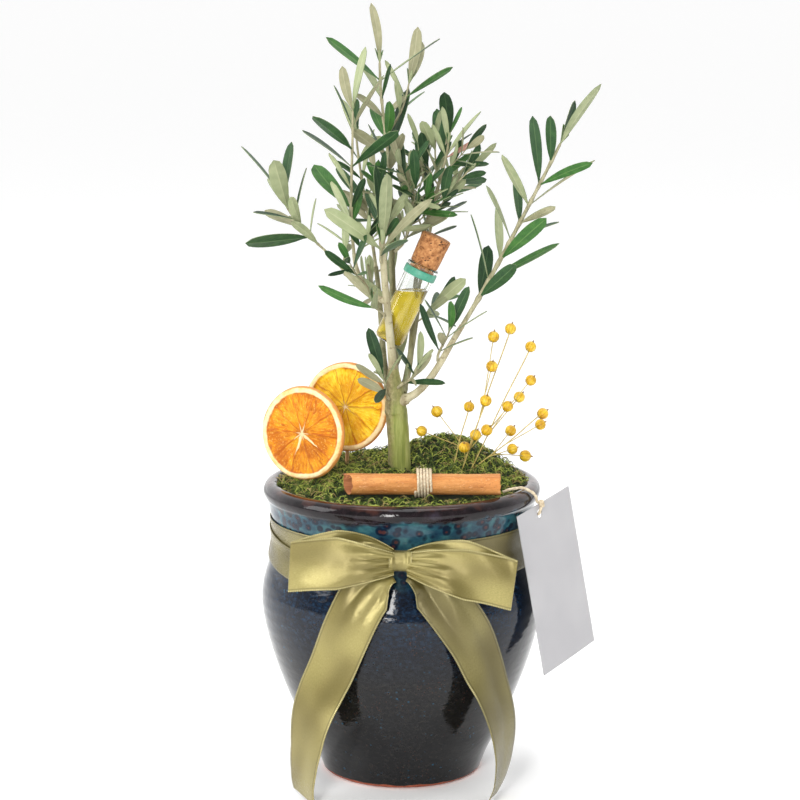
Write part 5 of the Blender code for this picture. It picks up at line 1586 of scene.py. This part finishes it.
def make_flax():
    chance = random.Random(12)
    skin = Skin()
    for (right, back), pods in FLAX_SPRIGS:
        x, y = FLAX_FOOT.x + right, FLAX_FOOT.y + back
        foot = Vector((x, y, moss_height(x, y)))
        main = flax_direction(*pods[0][1:])
        top = foot + main * pods[0][0]
        line = flax_line(foot - main * FLAX_DEPTH, top, 8)
        bend = main.orthogonal().normalized()
        count = len(line)
        line = [spot + bend * 0.00035 * math.sin(9.0 * index / count)
                for index, spot in enumerate(line)]
        add_tube(skin, line, [FLAX_STEM * 0.66] * count, 8, 2)
        add_pod(skin, top, main, chance)
        for length, lean, back in pods[1:]:
            end = foot + flax_direction(lean, back) * length
            start = foot + main * min(length * 0.45, pods[0][0] * 0.7)
            line = flax_line(start, end, 6)
            add_tube(skin, line, [FLAX_STEM * 0.52] * len(line), 7, 2)
            add_pod(skin, end, (end - start).normalized(), chance)
    dry = mottled("flax_point", (104, 72, 30), (160, 122, 60), 700.0, 0.7, 0.0001)
    straw = mottled("flax_straw", (164, 144, 72), (216, 196, 122), 400.0, 0.7, 0.0001)
    piece("flax_seed_heads", skin, [husk_material(), dry, straw],
          tuple(f"flax_sprig_{number}" for number in range(1, len(FLAX_SPRIGS) + 1)))


# Ribbon


def satin_material(name, tone):
    """Olive-gold satin: a very fine weave, soft swells of painted shade, a stitched edge with a darker
    line of painted shade inside it and a pale sharp shine. A tone below one darkens all its colours as
    painted shade.
    """
    # Each colour times the tone, which is below one in the copy of the satin that carries painted shade
    def with_painted_shade(*levels):
        red, green, blue, opaque = srgb(*levels)
        return (red * tone, green * tone, blue * tone, opaque)

    material, tree, shader = start_material(name, with_painted_shade(150, 140, 88), 0.30,
                                            Metallic=0.45, Specular_IOR_Level=0.70)
    spot = unwrapped(tree)
    part = parts(tree, spot)
    weave = put(tree, "ShaderNodeTexWave", Scale=1100.0, Distortion=0.4, bands_direction="X",
                Vector=spot).outputs["Fac"]
    slub = spread(tree, 1.0, 3.0, 0.7, vector=stretched(tree, spot, (900.0, 70.0, 1.0)))
    # Painted shade: soft darker patches along the run, for the shade in the cloth's swells
    swell = spread(tree, 1.0, 1.0, 0.4, vector=stretched(tree, spot, (26.0, 1.0, 1.0)))
    cloth = ramp(tree, slub, ((0.32, with_painted_shade(140, 129, 72)), (0.52, with_painted_shade(156, 145, 86)),
                              (0.74, with_painted_shade(172, 161, 102))))
    cloth = blend(tree, steps(tree, swell, 0.62, 0.34), cloth, with_painted_shade(98, 86, 38), 0.80)
    cloth = blend(tree, weave, cloth, with_painted_shade(104, 94, 46), 0.12)
    from_edge = minus(tree, 0.5, away(tree, part["Y"]))
    hem = steps(tree, from_edge, 0.034, 0.024)
    # Painted shade: a darker line just inside each hem, for the shade of a groove along it
    groove = times(tree, steps(tree, from_edge, 0.070, 0.050), steps(tree, from_edge, 0.026, 0.038))
    stitch = steps(tree, maths(tree, "FRACT", times(tree, part["X"], 1100.0)), 0.35, 0.60)
    hem_colour = blend(tree, stitch, with_painted_shade(116, 106, 56), with_painted_shade(196, 186, 132))
    cloth = blend(tree, groove, cloth, with_painted_shade(88, 78, 36), 0.55)
    paint(tree, shader, blend(tree, hem, cloth, hem_colour, 0.80), plus(tree, 0.23, slub, 0.06))
    relief(tree, shader, minus(tree, times(tree, weave, 0.3), hem), 0.00008)
    return material


def add_sheet(skin, rows, across_run, closed=False):
    """A thin closed sheet over rows of its middle surface, from edge to edge across the ribbon."""
    grid = np.array([[tuple(point) for point in row] for row in rows])
    if closed:
        along = np.roll(grid, -1, axis=0) - np.roll(grid, 1, axis=0)
    else:
        along = np.gradient(grid, axis=0)
    normal = np.cross(along, np.gradient(grid, axis=1))
    normal /= np.maximum(np.linalg.norm(normal, axis=2, keepdims=True), 1e-12)
    deep, count = grid.shape[:2]
    steps_along = np.linalg.norm(np.diff(grid[:, count // 2], axis=0), axis=1)
    run = np.concatenate(([0.0], np.cumsum(steps_along)))
    loops, spots = [], []
    for index in range(deep):
        high = grid[index] + normal[index] * CLOTH / 2.0
        low = grid[index] - normal[index] * CLOTH / 2.0
        loops.append([Vector(point) for point in (*high, *low[::-1])])
        line = [(run[index], column / (count - 1)) for column in range(count)]
        spots.append(line + line[::-1])
    skin.grid(loops, around=True, ring=closed, flip=across_run, spots=spots)
    if not closed:
        faces = [(column, column + 1, 2 * count - 2 - column, 2 * count - 1 - column)
                 for column in range(count - 1)]
        for loop, flip in ((loops[0], not across_run), (loops[-1], across_run)):
            ends = [face[::-1] if flip else face for face in faces]
            skin.add(loop, ends, spots=[(0.0, 0.5)] * len(loop))


def outline_radius(height):
    """Outer radius of the pot at a height."""
    for (low_radius, low), (high_radius, high) in zip(POT_OUTLINE[:0:-1], POT_OUTLINE[-2::-1]):
        if low <= height <= high:
            return low_radius + (high_radius - low_radius) * (height - low) / (high - low)
    return POT_OUTLINE[0][0]


def band_rows(turns, low, high, lift):
    """Rows across the ribbon at each turn round the pot. Low, high and lift depend on the turn."""
    deep = 14
    rows = []
    for angle in turns:
        row = []
        for level in range(deep + 1):
            share = level / deep
            height = low(angle) + (high(angle) - low(angle)) * share
            crease = noise.noise(polar(angle, 5.0, share * 2.6))
            reach = max(outline_radius(height), band_chord(height)) + BAND_PROUD + lift(angle)
            reach += 0.00016 * crease - 0.00006
            row.append(polar(angle, reach, height))
        rows.append(row)
    return rows


def make_band(satin):
    """The ribbon round the neck, gathered in at the knot, and its second turn at the left."""
    def gathered(angle):
        aside = math.cos(angle) * outline_radius(BAND_WAIST)
        return math.exp(-(aside / BAND_GATHER) ** 2) if math.sin(angle) < 0.0 else 0.0

    def low(angle):
        pinched = KNOT_CENTRE.z - BAND_PINCH - BAND_BOTTOM
        return BAND_BOTTOM + 0.0002 + pinched * gathered(angle)

    def high(angle):
        pinched = KNOT_CENTRE.z + BAND_PINCH - BAND_TOP
        return BAND_TOP - 0.0002 + pinched * gathered(angle)

    skin = Skin()
    round_neck = band_rows(turns_of(300), low, high, lambda angle: 0.0)
    add_sheet(skin, round_neck, False, closed=True)
    start, end = BAND_CROSSING
    fine = 70

    def slipped(angle):
        share = (angle - start) / (end - start)
        return -BAND_SLIP * share * share * (3.0 - 2.0 * share)

    def eased(angle):
        share = (angle - start) / (end - start)
        return BAND_PROUD * min(1.0, share * 8.0) * min(1.0, (1.0 - share) * 8.0) + 0.0001

    turns = [start + (end - start) * step / fine for step in range(fine + 1)]
    add_sheet(skin, band_rows(turns, lambda angle: BAND_BOTTOM + 0.0030 + slipped(angle),
                              lambda angle: BAND_TOP - 0.0040 + slipped(angle), eased), False)
    piece("ribbon_round_pot", skin, [satin], ("ribbon_band",))


def band_chord(height):
    """Radius of the straight-sided band between its waist and its edges."""
    heights = (BAND_TOP, BAND_WAIST, BAND_BOTTOM)
    for high, low in zip(heights, heights[1:]):
        if low <= height <= high:
            share = (height - low) / (high - low)
            return outline_radius(low) + (outline_radius(high) - outline_radius(low)) * share
    return outline_radius(height)


def make_knot(satin):
    """The ribbon's turn round the middle of the bow, pinched narrow, over a filled core."""
    skin = Skin()
    half = KNOT_SIZE / 2.0
    rows = []
    for angle in turns_of(72):
        row = []
        for level in range(31):
            across = level / 15.0 - 1.0
            pleat = 0.07 * math.exp(-((across - 0.62) / 0.16) ** 2)
            pleat += 0.05 * math.exp(-((across + 0.70) / 0.14) ** 2)
            swell = 0.93 + 0.05 * across * across + pleat + 0.012 * math.cos(across * 5.0 + angle)
            row.append(KNOT_CENTRE + Vector((across * half.x * 0.98,
                                             -math.cos(angle) * half.y * swell * 0.98,
                                             math.sin(angle) * half.z * swell * 0.95)))
        rows.append(row)
    add_sheet(skin, rows, False, closed=True)
    core = []
    around, levels = 24, 12
    for level in range(levels + 1):
        slope = math.pi * level / levels
        reach = math.sin(slope) ** 0.4 * 0.80
        core.append([KNOT_CENTRE + Vector((-math.cos(slope) * half.x * 0.90,
                                           reach * math.cos(angle) * half.y,
                                           reach * math.sin(angle) * half.z))
                     for angle in turns_of(around)])
    skin.grid(core, around=True, flip=True, spots=[[(0.0, 0.5)] * around] * len(core))
    piece("ribbon_knot", skin, [satin], ("bow_knot",))


def cloth_swell(travelled, across, seed):
    """Soft unevenness of the satin, in metres, at a place along and across the ribbon."""
    return 0.0036 * noise.noise(Vector((travelled * 42.0, across * 1.7, seed)))


def make_loop(name, side, reach, drop, rise, satin):
    """One loop of the bow, gathered at the knot, rounded at its far end and open at the top."""
    half, deep = 44, 26
    inner = abs(KNOT_SIZE.x) / 2.0 - 0.0026
    rows = []
    for index in range(2 * half + 1):
        share = abs(index - half) / half
        front = index > half
        outward = -1.0 if front else 1.0
        x = KNOT_CENTRE.x + side * (inner + (reach - inner) * math.cos(share * math.pi / 2.0) ** 0.8)
        out = min(1.0, (x - KNOT_CENTRE.x) * side / reach)
        depth = math.sin(math.pi * share / 2.0)
        arch = math.sin(math.pi * out)
        bulge = LOOP_BULGE * math.sin(math.pi * out ** 0.8)
        middle = KNOT_CENTRE.y - 0.0004 - LOOP_FORWARD * out
        y = middle + outward * (LOOP_FOOT * depth + bulge * depth)
        z = KNOT_CENTRE.z - 0.0008 + drop * out ** 1.3 + rise * arch
        z += (-0.0007 if front else 0.0021) * arch * depth
        width = LOOP_PINCH + (RIBBON_WIDTH - LOOP_PINCH) * min(1.0, out * 1.75) ** 0.75
        lean = -0.06 * out if side < 0 else 0.13 * out ** 2
        tilt = Vector((lean * side if side < 0 else lean, LOOP_LEAN * depth, 1.0)).normalized()
        row = []
        for level in range(deep + 1):
            across = level / deep - 0.5
            gather = math.exp(-((out - 0.10) / 0.24) ** 2)
            crease = 1.0 - abs(math.sin(across * 12.0 + (0.9 if front else 0.3) + out * 1.5))
            fold = -0.0017 * gather * crease
            slack = 0.0010 * depth * math.sin(across * 4.0 + out * 7.0 + side)
            cup = -0.0012 * (across * 2.0) ** 2 * depth * (1.0 - gather)
            cup += cloth_swell(out * reach, across, side) * depth * (1.0 - gather) * 0.7
            spot = Vector((x, y, z)) + tilt * across * width
            spot.y += outward * (fold + slack + cup)
            row.append(spot)
        rows.append(row)
    skin = Skin()
    add_sheet(skin, rows, side > 0)
    piece("ribbon_loop_" + name, skin, [satin], ("bow_loop_" + name,))


def clear_of_pot(point):
    """The point itself, or moved straight out of the pot's glaze."""
    reach = math.hypot(point.x, point.y)
    least = outline_radius(point.z) + TAIL_CLEAR if point.z > 0.001 else 0.0
    share = max(1.0, least / reach)
    return Vector((point.x * share, point.y * share, point.z))


def make_tail(name, stations, satin):
    """One tail: it leaves the knot gathered, swells and sinks over the belly and hangs below."""
    fine = 12
    depth, pace, phase, fade = TAIL_WAVES[name]
    centres = smooth([station[:3] for station in stations], fine)
    turns = [math.radians(station[3]) for station in stations]
    deep = 22
    rows = []
    travelled = 0.0
    for index, centre in enumerate(centres):
        run = direction_at(centres, index)
        if index:
            travelled += (centre - centres[index - 1]).length
        spot = index / fine
        low = min(int(spot), len(turns) - 2)
        turn = turns[low] + (turns[low + 1] - turns[low]) * (spot - low)
        across_way = Vector((math.cos(turn), -math.sin(turn), 0.0))
        across_way = (across_way - run * across_way.dot(run)).normalized()
        outward = run.cross(across_way)
        outward *= -1.0 if outward.y > 0.0 else 1.0
        width = min(RIBBON_WIDTH, 0.010 + 0.9 * travelled)
        started = min(1.0, max(0.0, travelled - 0.002) / 0.012)
        swell = depth * started * math.sin(travelled * pace + phase) * math.exp(-travelled / fade)
        row = []
        for level in range(deep + 1):
            across = level / deep - 0.5
            gather = math.exp(-travelled / 0.024)
            crease = 1.0 - abs(math.sin(across * 8.0 + 0.8 + travelled * 18.0))
            fold = -0.0022 * gather * crease
            roll = 0.0013 * math.sin(across * 4.6 + travelled * 42.0) * min(1.0, travelled / 0.02)
            roll *= max(0.25, 1.0 - travelled / 0.13)
            roll += (cloth_swell(travelled, across, phase + pace) * (1.0 - 1.4 * abs(across))
                     * max(0.10, 1.0 - travelled / 0.10))
            point = centre + across_way * across * width
            point += outward * (swell + (fold + roll) * started)
            row.append(clear_of_pot(point))
        rows.append(row)
    skin = Skin()
    add_sheet(skin, rows, True)
    piece("ribbon_tail_" + name, skin, [satin], ("bow_tail_" + name,))


def make_ribbon():
    satin = satin_material("olive_satin", 1.0)
    # The band and the right tail take a darker copy of the satin: painted shade where the cloth turns
    # from the light
    painted_shade_satin = satin_material("olive_satin_painted_shade", SATIN_SHADE)
    make_band(painted_shade_satin)
    make_knot(satin)
    for name, row in LOOPS.items():
        make_loop(name, *row, satin)
    for name, stations in TAILS.items():
        make_tail(name, stations, satin if name == "left" else painted_shade_satin)


# Tag


def tag_matrix():
    return (Matrix.Translation(TAG_CENTRE) @ Matrix.Rotation(TAG_TURN, 4, "Z")
            @ Matrix.Rotation(-TAG_LEAN, 4, "X") @ Matrix.Rotation(-TAG_ROLL, 4, "Y"))


def card_edge(angle):
    """Point of the card's outline in a direction from its hole, with corners a little rounded."""
    half_width, half_height = TAG_SIZE.x / 2.0, TAG_SIZE.z / 2.0
    way = Vector((math.cos(angle), math.sin(angle)))
    shares = []
    for value, step, limit in zip(TAG_HOLE, way, (half_width, half_height)):
        if abs(step) > 1e-9:
            shares.append(((limit if step > 0.0 else -limit) - value) / step)
    return TAG_HOLE + way * min(shares)


def paper_material():
    # The card is a light grey, darker than white paper: painted shade over the whole tag
    material, tree, shader = start_material("tag_paper", srgb(180, 179, 181), 0.82)
    tone = ramp(tree, spread(tree, 30.0, 2.0), ((0.30, srgb(176, 175, 178)),
                                                (0.70, srgb(184, 183, 185))))
    fibre = spread(tree, 1500.0, 5.0, 0.7)
    paint(tree, shader, blend(tree, steps(tree, fibre, 0.60, 0.75), tone, srgb(164, 162, 163), 0.20))
    relief(tree, shader, fibre, 0.00004)
    return material


def make_tag():
    """A blank card of thick paper: a punched hole, slightly soft edges and a faint curl."""
    half_width, half_height = TAG_SIZE.x / 2.0, TAG_SIZE.z / 2.0
    angles = turns_of(160)
    for x in (-half_width, half_width):
        for y in (-half_height, half_height):
            angles.append(math.atan2(y - TAG_HOLE.y, x - TAG_HOLE.x) % (2.0 * math.pi))
    angles.sort()
    shares = (0.0, 0.004, 0.02, 0.06, 0.12, 0.20, 0.30, 0.42, 0.55, 0.68, 0.80, 0.90, 0.96, 0.99,
              0.997, 1.0)
    rows, spots = [], []
    half = TAG_SIZE.y / 2.0
    for side, ordered in ((1.0, shares), (-1.0, shares[::-1])):
        for share in ordered:
            soft = 0.55 if share in (0.0, 1.0) else 1.0
            row, spot = [], []
            for angle in angles:
                circle = TAG_HOLE + Vector((math.cos(angle), math.sin(angle))) * TAG_HOLE_RADIUS
                point = circle.lerp(card_edge(angle), share)
                curl = 0.00025 * (point.x / half_width) ** 2 - 0.00010
                row.append(Vector((point.x, -side * half * soft + curl, point.y)))
                spot.append((point.x, point.y))
            rows.append(row)
            spots.append(spot)
    skin = Skin()
    skin.grid(rows, around=True, ring=True, flip=True, spots=spots)
    piece("paper_tag", skin, [paper_material()], ("tag",), matrix=tag_matrix())


def make_tag_twine():
    """Twine out of the moss, over the lip, knotted above the tag and in through its hole."""
    face = TAG_SIZE.y / 2.0
    edge = TAG_SIZE.z / 2.0
    clear = TWINE_RADIUS + 2.0 * GAP
    stand = tag_matrix()

    def on_tag(forward, up, aside=0.0):
        return stand @ Vector((TAG_HOLE.x + aside, -forward, up))

    route = []
    for share, reach, height in TWINE_OVER_LIP:
        way = TWINE_WAYS[0].lerp(TWINE_WAYS[1], share).normalized()
        route.append(way * reach + UP * height)
    route += [
        on_tag(0.0, edge + clear + 0.0003),
        on_tag(face + clear, edge + clear * 0.5),
        on_tag(face + clear, TAG_HOLE.y + 0.0030),
        on_tag(0.0, TAG_HOLE.y),
        on_tag(-0.0016, TAG_HOLE.y - 0.0006),
    ]
    line = smooth(route, 14)
    skin = Skin()
    add_tube(skin, line, [TWINE_RADIUS] * len(line), 16, 0, twisted(2, 0.24, 0.0034))
    middle = on_tag(face + TWINE_RADIUS * 2.0 + 2.0 * GAP, edge + 0.0006)
    for wrap in range(3):
        lift = (wrap - 1) * 0.0010
        ring = []
        for step in range(25):
            angle = 2.0 * math.pi * step / 24
            spot = Vector((0.00095 * math.cos(angle), 0.00085 * math.sin(angle),
                           lift + 0.0003 * math.sin(angle)))
            ring.append(middle + stand.to_3x3() @ spot)
        add_tube(skin, ring, [0.00062] * len(ring), 10, 0, twisted(2, 0.2, TWINE_TWIST))
    piece("twine_of_tag", skin, [twine_material()], ("tag_twine",))


# Stage


def make_world():
    """Pale surroundings, dimmer on the side of the front, so that the glaze stays dark there."""
    world = bpy.data.worlds.new("studio")
    world.use_nodes = True
    tree = world.node_tree
    way = put(tree, "ShaderNodeTexCoord").outputs["Generated"]
    behind = steps(tree, parts(tree, way)["Y"], -0.30, 0.55)
    strength = plus(tree, WORLD_FRONT, behind, WORLD_BACK - WORLD_FRONT)
    background = tree.nodes["Background"]
    background.inputs["Color"].default_value = (1.0, 1.0, 1.0, 1.0)
    tree.links.new(strength, background.inputs["Strength"])
    bpy.context.scene.world = world


def make_stage():
    """Pale floor, soft light from a pale room, a window beside the camera and a soft top light."""
    bpy.ops.mesh.primitive_plane_add(size=FLOOR_SIZE, location=(0.0, 0.0, FLOOR_LEVEL))
    floor = bpy.context.object
    floor.name = "floor"
    pale, _, _ = start_material("pale_floor", (0.97, 0.97, 0.97, 1.0), 0.9,
                                Emission_Color=(1.0, 1.0, 1.0, 1.0), Emission_Strength=0.10)
    floor.data.materials.append(pale)
    make_world()
    for name, spot, size, watts, colour in LIGHTS:
        lamp = bpy.data.lights.new(name, "AREA")
        lamp.shape = "RECTANGLE"
        lamp.size, lamp.size_y = size
        lamp.energy = watts
        lamp.color = colour
        made = bpy.data.objects.new(name, lamp)
        made.location = spot
        aim = LIGHT_AIM - Vector(spot)
        made.rotation_euler = aim.to_track_quat("-Z", "Y").to_euler()
        bpy.context.scene.collection.objects.link(made)

    camera = bpy.data.cameras.new("camera")
    camera.lens = CAMERA_LENS
    camera.sensor_width = CAMERA_SENSOR
    camera.clip_start = 0.01
    seen_by = bpy.data.objects.new("camera", camera)
    seen_by.location = CAMERA_PLACE
    seen_by.rotation_euler = (math.pi / 2.0 - CAMERA_DOWN, 0.0, 0.0)
    bpy.context.scene.collection.objects.link(seen_by)
    bpy.context.scene.camera = seen_by
    bpy.context.scene.view_settings.view_transform = "Standard"


limbs_made = make_limbs()
make_foliage(limbs_made)
make_pot()
make_moss()
make_bottle()
make_oranges()
make_cinnamon()
make_flax()
make_ribbon()
make_tag()
make_tag_twine()
make_stage()
